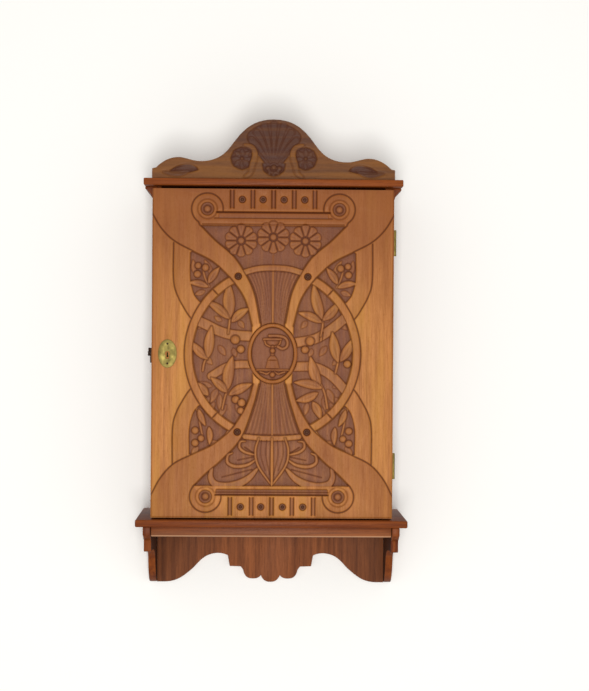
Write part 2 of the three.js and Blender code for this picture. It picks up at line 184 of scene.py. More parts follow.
class HardwareSettings(bpy.types.PropertyGroup):
    """Sizes of the small repeated pieces."""

    bead: size("Bead radius", "Radius of the beads in the round pits", 3.1 * MM)
    small_bead: size("Small bead radius", "Radius of the beads in the tablets", 2.6 * MM)
    screw: size("Screw head radius", "Radius of a countersunk screw head", 1.9 * MM)
    hook_wire: size("Hook wire radius", "Radius of the key hooks' wire", 1.4 * MM)
    hook_bend: size("Hook bend radius", "Radius of the bend in a key hook", 4.0 * MM)
    edge: size("Worn edge", "Width of the rounding on the boards' edges", 0.9 * MM)
    screw_proud: size("Screw stand", "How far a screw head stands out", 0.5 * MM)
    screw_slot: size("Screw slot", "Width of a screw head's slot", 0.6 * MM)


# ---------- meshes ----------
def new_object(name, data):
    made = bpy.data.objects.new(name, data)
    bpy.context.scene.collection.objects.link(made)
    return made


def settle(obj):
    """Turns the object's live modifiers into its mesh and removes them."""
    graph = bpy.context.evaluated_depsgraph_get()
    mesh = bpy.data.meshes.new_from_object(obj.evaluated_get(graph))
    obj.modifiers.clear()
    obj.data = mesh


def merged_copy(node, name):
    """A copy of a CAD node as one joined mesh with flat faces."""
    work = bmesh.new()
    work.from_mesh(NODES[node].data)
    bmesh.ops.remove_doubles(work, verts=work.verts, dist=1e-6)
    bmesh.ops.dissolve_limit(work, angle_limit=math.radians(0.5), verts=work.verts, edges=work.edges)
    mesh = bpy.data.meshes.new(name)
    work.to_mesh(mesh)
    work.free()
    return new_object(name, mesh)


def round_edges(obj, width):
    bevel = obj.modifiers.new("worn edges", "BEVEL")
    bevel.width = width
    bevel.segments = 2
    bevel.limit_method = "ANGLE"
    bevel.angle_limit = math.radians(30)
    bevel.use_clamp_overlap = True
    settle(obj)


def thin_out(obj, most):
    """Fewer triangles where the surface is flat."""
    count = sum(len(p.vertices) - 2 for p in obj.data.polygons)
    if count > most:
        fewer = obj.modifiers.new("fewer", "DECIMATE")
        fewer.ratio = most / count
        fewer.use_collapse_triangulate = True
        settle(obj)


def shade(obj, degrees=35):
    """Smooth shading, with sharp edges where faces meet at more than an angle."""
    obj.data.shade_smooth()
    obj.data.set_sharp_from_angle(angle=math.radians(degrees))


def dress(obj, material, body):
    """Gives a finished piece its material and the body it moves with."""
    obj.data.materials.clear()
    obj.data.materials.append(material)
    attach(obj, body)
    return obj


def box_tool(name, low, high):
    """A closed box to cut with."""
    work = bmesh.new()
    bmesh.ops.create_cube(work, size=1)
    sides = Vector(high) - Vector(low)
    centre = (Vector(high) + Vector(low)) / 2
    for vertex in work.verts:
        vertex.co = Vector(a * b for a, b in zip(vertex.co, sides)) + centre
    mesh = bpy.data.meshes.new(name)
    work.to_mesh(mesh)
    work.free()
    return new_object(name, mesh)


def oval_tool(name, half, height, front, back):
    """A closed oval prism to cut with, its oval in mm and its depths in metres."""
    ring = arc((0, height), (half.x, half.z), 0, 360, 97)[:-1] * MM
    count = len(ring)
    points = [(x, depth, z) for depth in (front, back) for x, z in ring]
    walls = [(count + i, count + (i + 1) % count, (i + 1) % count, i) for i in range(count)]
    faces = [list(range(count)), *walls, list(range(2 * count - 1, count - 1, -1))]
    mesh = bpy.data.meshes.new(name)
    mesh.from_pydata(points, [], faces)
    return new_object(name, mesh)


def combine(obj, tool, operation):
    """Cuts or trims a mesh with a closed tool, which is then removed."""
    cut = obj.modifiers.new("cut", "BOOLEAN")
    cut.operation = operation
    cut.solver = "MANIFOLD"
    cut.object = tool
    settle(obj)
    bpy.data.objects.remove(tool)


# ---------- carving ----------
# The walls of raised elements go down to this height, a little under the sunk ground.
WALL_FOOT = -3.4


def ramp(value):
    """0 below 0, 1 above 1, and a smooth rise between."""
    t = np.clip(value, 0, 1)
    return t * t * (3 - 2 * t)


def smooth(points, steps=8):
    """A smooth curve through some points."""
    points = np.asarray(points, float)
    padded = np.vstack([2 * points[0] - points[1], points, 2 * points[-1] - points[-2]])
    t = np.linspace(0, 1, steps, endpoint=False)[:, None]
    parts = []
    for a, b, c, d in zip(padded, padded[1:], padded[2:], padded[3:]):
        bend = (2 * a - 5 * b + 4 * c - d) * t**2 + (3 * b - a - 3 * c + d) * t**3
        parts.append(b + 0.5 * ((c - a) * t + bend))
    return np.vstack([*parts, points[-1:]])


def arc(centre, radius, start, end, steps=40):
    """Points on a circle, or on an ellipse when the radius is a pair, between two angles in degrees."""
    angles = np.radians(np.linspace(start, end, steps))
    across, up = radius if isinstance(radius, tuple) else (radius, radius)
    return np.column_stack([centre[0] + across * np.cos(angles), centre[1] + up * np.sin(angles)])


def flip(points, side):
    """The points themselves for side 1, and their mirror image for side -1."""
    return np.asarray(points, float) * (side, 1)


def mirrored(half, *middle):
    """One half of an outline or path, what lies in the middle, and the other half."""
    return [*half, *middle, *((-x, z) for x, z in reversed(half))]


def rectangle(left, low, right, high):
    return [(left, low), (right, low), (right, high), (left, high)]


def to_path(x, z, path):
    """Each grid point's distance to a path, and the share of the path's length at its nearest place."""
    lengths = np.hypot(*np.diff(path, axis=0).T)
    starts = np.concatenate([[0], np.cumsum(lengths)])
    best = np.full(x.shape, 1e9)
    along = np.zeros(x.shape)
    for (ax, az), (bx, bz), start, length in zip(path, path[1:], starts, lengths):
        dot = (x - ax) * (bx - ax) + (z - az) * (bz - az)
        t = np.clip(dot / max(length, 1e-9) ** 2, 0, 1)
        distance = np.hypot(x - ax - t * (bx - ax), z - az - t * (bz - az))
        near = distance < best
        best = np.where(near, distance, best)
        along = np.where(near, start + t * length, along)
    return best, along / starts[-1]


def to_outline(x, z, outline):
    """Each grid point's distance to a closed outline, above 0 inside it."""
    closed = np.vstack([outline, outline[:1]])
    inside = np.zeros(x.shape, bool)
    for (ax, az), (bx, bz) in zip(closed, closed[1:]):
        if az != bz:
            crosses = (az > z) != (bz > z)
            inside ^= crosses & (x < ax + (z - az) * (bx - ax) / (bz - az))
    distance, _ = to_path(x, z, closed)
    return np.where(inside, distance, -distance)


def blur(grid, radius):
    """The grid softened over a few cells each way."""
    reach = max(1, round(2.5 * radius))
    weights = np.exp(-0.5 * (np.arange(-reach, reach + 1) / radius) ** 2)
    weights /= weights.sum()
    for axis in (0, 1):
        pad = [(reach, reach) if axis == i else (0, 0) for i in (0, 1)]
        wide = np.pad(grid, pad, mode="edge")
        count = grid.shape[axis]
        grid = sum(w * wide.take(range(i, i + count), axis=axis) for i, w in enumerate(weights))
    return grid


class Relief:
    """A board's front as a grid of heights in mm. The stain goes from 0, bare wood, to 1, the
    sunk ground; the tone from 0, the field's wood, to 1, the ribbons' warmer one; and the cut
    from 0 to 1 in the incised lines. What is put on keeps to the window."""

    def __init__(self, low, high, step):
        self.step = step
        self.x = np.linspace(low[0], high[0], round((high[0] - low[0]) / step) + 1)
        self.z = np.linspace(low[1], high[1], round((high[1] - low[1]) / step) + 1)
        shape = (len(self.z), len(self.x))
        self.height, self.stain, self.tone, self.cut = (np.zeros(shape) for _ in range(4))
        self.window = np.ones(shape)

    def near(self, path, reach):
        """The part of the grid within reach of a path: its slices, x and z."""
        low, high = path.min(0) - reach, path.max(0) + reach
        columns = slice(*np.searchsorted(self.x, [low[0], high[0]]))
        rows = slice(*np.searchsorted(self.z, [low[1], high[1]]))
        x, z = np.meshgrid(self.x[columns], self.z[rows])
        return (rows, columns), x, z

    def sink(self, outline, depth, stain=0.8, wall=1.5):
        """Lowers everything inside an outline."""
        at, x, z = self.near(np.asarray(outline), 1)
        share = ramp(to_outline(x, z, np.asarray(outline)) / wall)
        self.height[at] = np.minimum(self.height[at], -depth * share)
        self.stain[at] = np.maximum(self.stain[at], stain * share)

    def line(self, path, width, depth, dark=1.0):
        """Cuts a groove along a path."""
        path = np.asarray(path, float)
        at, x, z = self.near(path, width)
        distance, _ = to_path(x, z, path)
        cut = ramp(1.15 - distance / (width / 2))
        self.height[at] = np.minimum(self.height[at], self.height[at] * (1 - cut) + cut * -depth)
        self.cut[at] = np.maximum(self.cut[at], dark * cut)

    def put(self, at, inside, top, floor, stain, wall=1.3):
        """Lays an element over the grid where inside, in mm from its edge, is above 0, with a
        cut all round it that parts it from what lies below."""
        moat = np.exp(-(((inside + 0.7) / 0.8) ** 2)) * self.window[at]
        high = ramp(self.height[at] - floor)
        self.height[at] -= moat * high
        self.cut[at] = np.maximum(self.cut[at], moat * (0.3 + 0.35 * high))
        rise = top - (top - floor) * ramp(-inside / wall)
        over = ramp(0.5 + inside / 0.8) * self.window[at]
        raised = np.maximum(self.height[at], rise)
        self.height[at] = np.where(self.window[at] > 0.5, raised, self.height[at])
        self.stain[at] = self.stain[at] * (1 - over) + stain * over
        self.cut[at] *= 1 - over

    def leaf(self, base, tip, width, level=-1.7, crown=1.5, bend=0.0, stain=0.5, vein=0.7):
        """A leaf, pointed at both ends, with a groove down its middle. Its stain is deepest
        where it joins its stem, and one side of it is darkened with painted shade."""
        base, tip = np.asarray(base, float), np.asarray(tip, float)
        run = tip - base
        middle = (base + tip) / 2 + bend * np.array([-run[1], run[0]]) / np.hypot(*run)
        path = smooth([base, middle, tip], 5)
        at, x, z = self.near(path, width)
        distance, along = to_path(x, z, path)
        half = width / 2 * np.sin(math.pi * (0.03 + 0.94 * along**0.85)) ** 0.8
        round_top = np.sqrt(np.clip(1 - (distance / np.maximum(half, 0.1)) ** 2, 0, 1))
        groove = vein * np.exp(-((distance / 0.8) ** 2)) * ramp(2.2 - 2.4 * along)
        # Painted shade and light: one side of the leaf is stained darker, the other lighter.
        painted_shade_side = ((x - base[0]) * run[1] - (z - base[1]) * run[0]) / np.hypot(*run) / width
        stain_and_side_shade = stain + 0.22 * (0.5 - along) + 0.3 * np.clip(painted_shade_side, -0.5, 0.5)
        self.put(at, half - distance, level + crown * round_top - groove, WALL_FOOT, stain_and_side_shade)

    def band(self, path, width, level, stain, taper=0.0):
        """A raised strip along a path, narrowing to its ends by the taper's share."""
        path = np.asarray(path, float)
        at, x, z = self.near(path, width)
        distance, along = to_path(x, z, path)
        half = width / 2 * (1 - taper + taper * np.sin(math.pi * along) ** 0.7)
        round_top = np.sqrt(np.clip(1 - (distance / np.maximum(half, 0.1)) ** 2, 0, 1))
        self.put(at, half - distance, level + 0.4 * round_top, WALL_FOOT, stain)

    def berry(self, centre, radius, stain, level=-2.2):
        """A round berry or bead, domed."""
        at, x, z = self.near(np.array([centre]), radius + 3)
        distance = np.hypot(x - centre[0], z - centre[1])
        dome = 0.55 * np.sqrt(np.clip(radius**2 - distance**2, 0, None))
        self.put(at, radius - distance, level + dome, WALL_FOOT, stain, wall=0.8)

    def pit(self, centre, radius, depth, stain):
        """A round hole with a steep wall."""
        self.sink(arc(centre, radius, 0, 360, 28), depth, stain, wall=1.0)

    def ring(self, centre, radius, width, depth, dark, steps=40):
        """A round groove."""
        self.line(arc(centre, radius, 0, 360, steps), width, depth, dark)

    def daisy(self, centre, radius):
        """A flower of ten broad petals, parted by narrow cuts, with a sunk eye."""
        petals = 10
        at, x, z = self.near(np.array([centre]), radius + 2)
        x, z = x - centre[0], z - centre[1]
        out = np.hypot(x, z)
        turn = (np.arctan2(z, x) / (2 * math.pi) - 0.25) * petals
        turn -= np.round(turn)
        across = 2 * math.pi / petals * turn * out
        gap = math.pi / petals * out - 1.1 - np.abs(across)
        tip = radius * (1 - 0.5 * turn**2) - out
        inside = np.minimum(np.minimum(gap, tip), out - 0.3 * radius)
        top = -1.9 + 0.8 * np.sqrt(np.clip(inside / 3, 0, 1)) - 0.4 * np.exp(-((across / 1.6) ** 2))
        self.put(at, inside, top, WALL_FOOT, 0.56, wall=0.9)
        self.sink(arc(centre, radius * 0.3, 0, 360, 24), -WALL_FOOT, 1.0, wall=1.0)
        self.ring(centre, radius * 0.26, 2.4, -WALL_FOOT, 0.7, steps=24)
        self.berry(centre, radius * 0.2, level=-2.8, stain=1.0)

    def warm(self, outline, amount):
        """Moves the wood inside an outline towards the ribbons' warmer tone."""
        edge = 2.0
        at, x, z = self.near(np.asarray(outline), edge)
        share = ramp(0.5 + to_outline(x, z, np.asarray(outline)) / edge)
        self.tone[at] += (1 - self.tone[at]) * amount * share

    def finish(self, softness):
        """Softens the cut edges as a worn surface, and keeps how far each point stands proud."""
        self.height = blur(self.height, softness / self.step)
        self.proud = self.height - blur(self.height, 2.2 / self.step)
        self.stain = blur(self.stain, 0.5 / self.step)
        self.cut = blur(self.cut, 0.5 / self.step)

    def sample(self, grid, x, z):
        """The grid's value at any places, between its points."""
        column = np.clip((x - self.x[0]) / (self.x[1] - self.x[0]), 0, len(self.x) - 1.001)
        row = np.clip((z - self.z[0]) / (self.z[1] - self.z[0]), 0, len(self.z) - 1.001)
        i, j = row.astype(int), column.astype(int)
        v, u = row - i, column - j
        low = grid[i, j] * (1 - u) + grid[i, j + 1] * u
        high = grid[i + 1, j] * (1 - u) + grid[i + 1, j + 1] * u
        return low * (1 - v) + high * v

    def slab(self, name, front, back):
        """A closed board whose front, at a depth in metres, has these heights."""
        x, z = np.meshgrid(self.x, self.z)
        rows, columns = self.height.shape
        depth = front - self.height * MM
        points = np.column_stack([(x * MM).ravel(), depth.ravel(), (z * MM).ravel()])
        index = np.arange(rows * columns).reshape(rows, columns)
        corners = (index[:-1, :-1], index[:-1, 1:], index[1:, 1:], index[1:, :-1])
        quads = np.stack([c.ravel() for c in corners], axis=1)
        ring = np.concatenate([index[0, :-1], index[:-1, -1], index[-1, :0:-1], index[:0:-1, 0]])
        behind = points[ring].copy()
        behind[:, 1] = back
        far = len(points) + np.arange(len(ring))
        ahead, ahead_far = np.roll(ring, -1), np.roll(far, -1)
        walls = np.stack([ahead, ring, far, ahead_far], axis=1)
        faces = np.vstack([quads, walls]).tolist() + [far[::-1].tolist()]
        mesh = bpy.data.meshes.new(name)
        mesh.from_pydata(np.vstack([points, behind]).tolist(), [], faces)
        return new_object(name, mesh)

    def colour(self, obj, front):
        """Writes the stain, tone, proudness and cut to the mesh's points as one attribute. The
        carved side is what lies within 6 mm of the front."""
        count = len(obj.data.vertices)
        places = np.zeros(count * 3)
        obj.data.vertices.foreach_get("co", places)
        places = places.reshape(-1, 3)
        x, z = places[:, 0] / MM, places[:, 2] / MM
        face = places[:, 1] < front + 6 * MM
        values = np.zeros((count, 4), np.float32)
        for i, grid in ((0, self.stain), (1, self.tone), (3, self.cut)):
            values[:, i] = np.where(face, self.sample(grid, x, z), 0)
        values[:, 2] = 0.5 + 0.5 * np.where(face, self.sample(self.proud, x, z), 0)
        attribute = obj.data.attributes.new("carving", "FLOAT_COLOR", "POINT")
        attribute.data.foreach_set("color", values.ravel())


# ---------- materials ----------
def linear(code):
    """An sRGB hex colour as linear values."""
    parts = [int(code[i : i + 2], 16) / 255 for i in (1, 3, 5)]
    return (*(c / 12.92 if c <= 0.04045 else ((c + 0.055) / 1.055) ** 2.4 for c in parts), 1)


def add_node(tree, kind, inputs=(), **settings):
    """Adds a node with its settings, and sets or links its inputs by name or number."""
    made = tree.nodes.new(kind)
    for key, value in settings.items():
        setattr(made, key, value)
    for key, value in dict(inputs).items():
        if isinstance(value, bpy.types.NodeSocket):
            tree.links.new(value, made.inputs[key])
        else:
            made.inputs[key].default_value = value
    return made


def paint(setting):
    """A colour of the finish settings, as linear values."""
    return linear(getattr(bpy.context.scene.key_cabinet_finish, setting))


def mix(tree, factor, first, second):
    inputs = {0: factor, 6: first, 7: second}
    return add_node(tree, "ShaderNodeMix", inputs, data_type="RGBA").outputs[2]


def calc(tree, operation, *values, clamp=False):
    inputs = dict(enumerate(values))
    return add_node(tree, "ShaderNodeMath", inputs, operation=operation, use_clamp=clamp).outputs[0]


def noise(tree, place, detail, scale=1.0, roughness=0.5):
    """A soft random pattern between 0 and 1."""
    inputs = {"Vector": place, "Scale": scale, "Detail": detail, "Roughness": roughness}
    return add_node(tree, "ShaderNodeTexNoise", inputs).outputs[0]


def spread(tree, value, low, high, to_low=0.0, to_high=1.0):
    """The value moved from one range to another, and kept inside it."""
    inputs = {"Value": value, "From Min": low, "From Max": high, "To Min": to_low, "To Max": to_high}
    return add_node(tree, "ShaderNodeMapRange", inputs).outputs[0]


def new_material(name):
    material = bpy.data.materials.new(name)
    material.use_nodes = True
    tree = material.node_tree
    tree.nodes.clear()
    shader = add_node(tree, "ShaderNodeBsdfPrincipled")
    add_node(tree, "ShaderNodeOutputMaterial", {"Surface": shader.outputs[0]})
    return material, tree, shader


def grain_map(tree, along, across, axis, shift=0.0):
    """Object coordinates in steps of a pattern that is long along the grain, sizes in mm."""
    scale = [1 / (across * MM)] * 3
    scale["XYZ".index(axis)] = 1 / (along * MM)
    place = add_node(tree, "ShaderNodeTexCoord").outputs["Object"]
    inputs = {"Vector": place, "Scale": scale, "Location": (shift, shift * 1.7, shift * 0.6)}
    return add_node(tree, "ShaderNodeMapping", inputs).outputs[0]


def bump(tree, shader, height, strength, distance):
    """Gives a shader small bumps, up to a distance in mm."""
    inputs = {"Height": height, "Strength": strength, "Distance": distance * MM}
    tree.links.new(add_node(tree, "ShaderNodeBump", inputs).outputs[0], shader.inputs["Normal"])


def growth_rings(tree, axis, shift):
    """Rings a few mm apart, drawn out along the grain."""
    ring_mm, turn_mm = 7.0, 0.314
    spacing = ring_mm / turn_mm
    inputs = {
        "Vector": grain_map(tree, spacing * 14, spacing, axis, shift),
        "Scale": 1.0,
        "Distortion": 5.0,
        "Detail": 2.0,
        "Detail Scale": 1.3,
    }
    across = "Y" if axis == "X" else "X"
    return add_node(tree, "ShaderNodeTexWave", inputs, bands_direction=across).outputs[1]


def stained(tree, colour, ground, streaks, bands, pale):
    """The colour of a carved face: warmer on the ribbons, stained in the ground, dark in the
    cuts, darkened by dirt and painted shade where it lies low, and rubbed pale where it stands
    proud. Gives the stain too."""
    read = add_node(tree, "ShaderNodeAttribute", attribute_name="carving").outputs
    parts = add_node(tree, "ShaderNodeSeparateColor", {0: read["Color"]}).outputs
    stain, tone, proud, cut = parts[0], parts[1], parts[2], read["Alpha"]
    colour = mix(tree, tone, colour, paint("ribbon"))
    mottle = spread(tree, bands, 0.3, 0.7, 0.72, 1.0)
    dark_streaks = spread(tree, streaks, 0.3, 0.8, 0.0, 0.35)
    stained_wood = mix(tree, dark_streaks, paint(ground), paint("line"))
    share = calc(tree, "MULTIPLY", spread(tree, stain, 0.05, 0.8), mottle)
    colour = mix(tree, share, colour, stained_wood)
    colour = mix(tree, cut, colour, paint("line"))
    # Dirt and painted shade in the hollows beside the raised parts.
    colour = mix(tree, spread(tree, proud, 0.48, 0.0, 0.0, 0.6), colour, paint("line"))
    colour = mix(tree, spread(tree, proud, 0.55, 0.95, 0.0, 0.25), colour, paint(pale))
    return colour, stain


def add_painted_light(tree, colour):
    """The colour of a plain board with its painted light: a painted highlight where the first channel
    marks it, and painted shade where the second does.
    """
    marks = add_node(tree, "ShaderNodeAttribute", attribute_name="painted_light").outputs["Color"]
    painted_light = add_node(tree, "ShaderNodeSeparateColor", {0: marks}).outputs
    colour = mix(tree, calc(tree, "MULTIPLY", painted_light[0], 0.55), colour, paint("worn_and_highlit"))
    return mix(tree, calc(tree, "MULTIPLY", painted_light[1], 0.85), colour, paint("painted_shade"))


def shaded_ends(tree, colour, half):
    """Painted shade: the colour darkened towards both ends of a board, which are half its width out."""
    place = add_node(tree, "ShaderNodeTexCoord").outputs["Object"]
    sideways = calc(tree, "ABSOLUTE", add_node(tree, "ShaderNodeSeparateXYZ", {0: place}).outputs[0])
    return mix(tree, spread(tree, sideways, half * 0.4, half, 0.0, 0.36), colour, paint("painted_shade"))


def wood(name, pale, deep, axis="Z", shift=0.0, ground="", gold="", ends=0.0, gloss=0.44):
    """Waxed hardwood. The eye sees long fine streaks along the grain, broad darker bands,
    growth rings a few mm apart, short dark pores, and a dull shine that follows the fibres. A
    carved board has a ground's and golden patches' colours; a board can have painted shade
    darkening it towards its ends."""
    material, tree, shader = new_material(name)
    streaks = noise(tree, grain_map(tree, 22, 0.9, axis, shift), 3.0, roughness=0.6)
    clouds = noise(tree, grain_map(tree, 260, 26, axis, shift), 3.0)
    bands = noise(tree, grain_map(tree, 190, 6, axis, shift + 4), 2.0)
    pores = noise(tree, grain_map(tree, 5.0, 0.35, axis, shift + 3), 1.0)
    pore = spread(tree, pores, 0.64, 0.72)
    rings = calc(tree, "MULTIPLY", growth_rings(tree, axis, shift), 0.1)
    fine = calc(tree, "MULTIPLY_ADD", streaks, 1.2, rings)
    broad = calc(tree, "MULTIPLY_ADD", bands, 1.5, calc(tree, "MULTIPLY_ADD", clouds, 1.2, -1.6))
    colour = mix(tree, calc(tree, "ADD", fine, broad, clamp=True), paint(pale), paint(deep))
    pricks = calc(tree, "MULTIPLY", pore, 0.5)
    fibre = calc(tree, "SUBTRACT", calc(tree, "MULTIPLY", streaks, 0.5), pricks)
    if ground:
        golden = noise(tree, grain_map(tree, 170, 16, axis, shift + 9), 2.0)
        colour = mix(tree, spread(tree, golden, 0.46, 0.66, 0.0, 0.6), colour, paint(gold))
        colour, stain = stained(tree, colour, ground, streaks, bands, pale)
        pattern = {"Vector": grain_map(tree, 1.6, 1.6, axis), "Scale": 1.0}
        punch = add_node(tree, "ShaderNodeTexVoronoi", pattern).outputs["Distance"]
        pits = calc(tree, "MULTIPLY", punch, spread(tree, stain, 0.45, 0.8, 0.0, 1.2))
        fibre = calc(tree, "ADD", fibre, pits)
    else:
        colour = add_painted_light(tree, colour)
    # Painted shade towards the board's ends.
    if ends:
        colour = shaded_ends(tree, colour, ends)
    colour = mix(tree, calc(tree, "MULTIPLY", pore, 0.35), colour, paint("line"))
    tree.links.new(colour, shader.inputs["Base Color"])
    roughness = calc(tree, "MULTIPLY_ADD", streaks, 0.22, gloss - 0.1)
    tree.links.new(roughness, shader.inputs["Roughness"])
    bump(tree, shader, fibre, 0.35, 0.4)
    shader.inputs["IOR"].default_value = 1.45
    shader.inputs["Specular IOR Level"].default_value = 0.16
    return material


def metal(name, clean, dull, patch_mm, scratch):
    """Old metal. The eye sees a soft shine broken by dull patches and fine rubbing marks."""
    material, tree, shader = new_material(name)
    place = add_node(tree, "ShaderNodeTexCoord").outputs["Object"]
    patches = noise(tree, place, 5.0, scale=1 / (patch_mm * MM))
    marks = noise(tree, grain_map(tree, 9.0, 0.35, "Z"), 2.0)
    share = spread(tree, patches, 0.35, 0.9)
    tree.links.new(mix(tree, share, paint(clean), paint(dull)), shader.inputs["Base Color"])
    rubbed = calc(tree, "MULTIPLY_ADD", marks, 0.15, 0.43)
    tree.links.new(calc(tree, "MULTIPLY_ADD", share, 0.3, rubbed), shader.inputs["Roughness"])
    dents = calc(tree, "MULTIPLY", patches, 0.15)
    bump(tree, shader, calc(tree, "ADD", calc(tree, "MULTIPLY", marks, scratch), dents), 0.08, 0.1)
    shader.inputs["Metallic"].default_value = 1.0
    return material


# The colours are named as in the finish settings. A shift moves the grain, so that no two
# woods show the same figure.
WOOD_LOOKS = {
    "waxed_walnut_carved": {"pale": "field", "deep": "field_deep", "ground": "ground", "gold": "gold"},
    "stained_walnut_carved": {
        "pale": "crest", "deep": "crest_deep", "axis": "X", "shift": 2.0,
        "ground": "crest_ground", "gold": "crest_gold",
    },
    "red_walnut_upright": {"pale": "red", "deep": "red_deep", "shift": 5.0},
    "red_walnut_level": {"pale": "red", "deep": "red_deep", "axis": "X", "shift": 7.0},
    "dark_walnut_upright": {
        "pale": "apron", "deep": "apron_deep", "shift": 9.0, "ends": 0.17, "gloss": 0.5,
    },
    "dark_walnut_beads": {"pale": "crest_deep", "deep": "crest_ground", "axis": "X", "shift": 3.0},
    "bare_pine": {"pale": "inner", "deep": "inner_deep", "axis": "X", "shift": 11.0, "gloss": 0.62},
}
METAL_LOOKS = {
    "aged_brass": {"clean": "brass", "dull": "tarnish", "patch_mm": 9.0, "scratch": 0.1},
    "browned_iron": {"clean": "iron", "dull": "line", "patch_mm": 3.0, "scratch": 0.25},
}


def finish_named(name):
    """One of the cabinet's finishes, made when it is first asked for."""
    if name in bpy.data.materials:
        return bpy.data.materials[name]
    if name in WOOD_LOOKS:
        return wood(name, **WOOD_LOOKS[name])
    return metal(name, **METAL_LOOKS[name])


# ---------- the door's carving ----------
# Heights in the door are measured from its own bottom edge; its middle is x = 0. The
# ribbons, side bands and volutes are given for the left half, and mirrored.
RIBBON_UPPER_OUT = [
    (-186, 466), (-170, 440), (-150, 421), (-120, 405), (-90, 389), (-62, 362), (-42, 332), (-31, 292),
]
RIBBON_UPPER_IN = [(-112, 446), (-88, 422), (-60, 398), (-40, 368), (-28, 340), (-19.5, 297)]
RIBBON_LOWER_OUT = [
    (-29, 205), (-38, 175), (-60, 138), (-90, 112), (-120, 97.5), (-150, 82), (-170, 60), (-184, 34),
]
RIBBON_LOWER_IN = [(-20, 205), (-29, 170), (-47, 122), (-75, 90), (-100, 68), (-120, 48)]
RING = {"centre": (0, 250), "inner": 122, "middle": 128, "outer": 134.5}
SIDE_BAND_OUT = [(-151.5, 419), (-151.5, 365), (-146, 340), (-132, 314), (-124, 303)]
SIDE_BAND_IN = [(-127, 404), (-127, 365), (-121, 340), (-111, 327)]
# Each volute: its centre, and the angles at which its outline starts and ends.
VOLUTES = [((-100.5, 470.5), -12, 236), ((-101, 32.5), 14, -236)]
VOLUTE_RADIUS = 24
BOSSES = [(53, 368), (53, 131)]
TABLET_BEADS = [(16, 485), (47.5, 485), (16.5, 17), (47.5, 17)]
DAISIES = [(-49, 422.5), (49, 422.5), (0, 428)]


def ring_arc(edge, start, end, steps=40):
    return arc(RING["centre"], RING[edge], start, end, steps)


def below(points):
    """A path mirrored about the middle height of the door."""
    return np.asarray(points, float) * (1, -1) + (0, 2 * RING["centre"][1])


def cut_grounds(relief, deep):
    """Sinks the dark grounds between the ribbons, the ring and the side bands. Returns where
    they are."""
    upper_out, upper_in = smooth(RIBBON_UPPER_OUT), smooth(RIBBON_UPPER_IN)
    lower_out, lower_in = smooth(RIBBON_LOWER_OUT), smooth(RIBBON_LOWER_IN)
    for side in (-1, 1):
        top = np.vstack([upper_in, [(-19, 250), (1, 250), (1, 446)]])
        relief.sink(flip(top, side), deep)
        bottom = np.vstack([[(1, 48), (1, 250), (-19, 250)], lower_in])
        relief.sink(flip(bottom, side), deep)
        high = upper_out[upper_out[:, 1] < 357]
        low = lower_out[lower_out[:, 1] > 143]
        ring_in = ring_arc("inner", 242.5, 118.3, 50)
        relief.sink(flip(np.vstack([high, low, ring_in]), side), deep)
        edge = upper_out[(upper_out[:, 0] > -127) & (upper_out[:, 0] < -67)]
        ring_out = ring_arc("outer", 119.6, 145, 16)
        relief.sink(flip(np.vstack([edge, ring_out, smooth(SIDE_BAND_IN)[::-1]]), side), deep)
        edge = lower_out[(lower_out[:, 0] > -127) & (lower_out[:, 0] < -67)]
        ring_out = ring_arc("outer", 215, 240.4, 16)
        relief.sink(flip(np.vstack([edge, below(smooth(SIDE_BAND_IN)), ring_out]), side), deep)
    return ramp(-relief.height / 1.2)


def cut_outlines(relief, width, depth):
    """Incises the outlines of the ribbons, the ring with its four joints, the side bands and
    the volutes."""
    for side in (-1, 1):
        for path in (RIBBON_UPPER_OUT, RIBBON_UPPER_IN, RIBBON_LOWER_OUT, RIBBON_LOWER_IN):
            relief.line(flip(smooth(path), side), width, depth)
        band = smooth(SIDE_BAND_OUT)
        relief.line(flip(band, side), width, depth)
        relief.line(flip(below(band), side), width, depth)
        relief.line(flip(ring_arc("outer", 119.5, 240.5, 70), side), width, depth)
        relief.line(flip(ring_arc("inner", 119, 242, 70), side), width * 0.8, depth)
        joint = ring_arc("middle", 131.5, 134.5, 4)
        for spots in (joint, below(joint)):
            mid = spots.mean(0)
            way = (mid - np.array(RING["centre"])) / RING["middle"]
            relief.line(flip([mid - way * 6, mid + way * 6], side), width, depth)
        relief.line(flip([(-113.9, 450.6), (-112, 446)], side), width, depth)
        for centre, start, end in VOLUTES:
            relief.line(flip(arc(centre, VOLUTE_RADIUS, start, end), side), width, depth)
            relief.line(flip(arc(centre, 15, 0, 360), side), 1.8, 0.9, dark=0.35)
            relief.sink(flip(arc(centre, 10.5, 0, 360), side), 1.8, stain=0.75, wall=2.5)
            relief.line(flip(arc(centre, 9.5, 0, 360), side), 2.0, 1.9, dark=0.6)
            relief.berry((side * centre[0], centre[1]), 5.0, level=-2.4, stain=0.7)


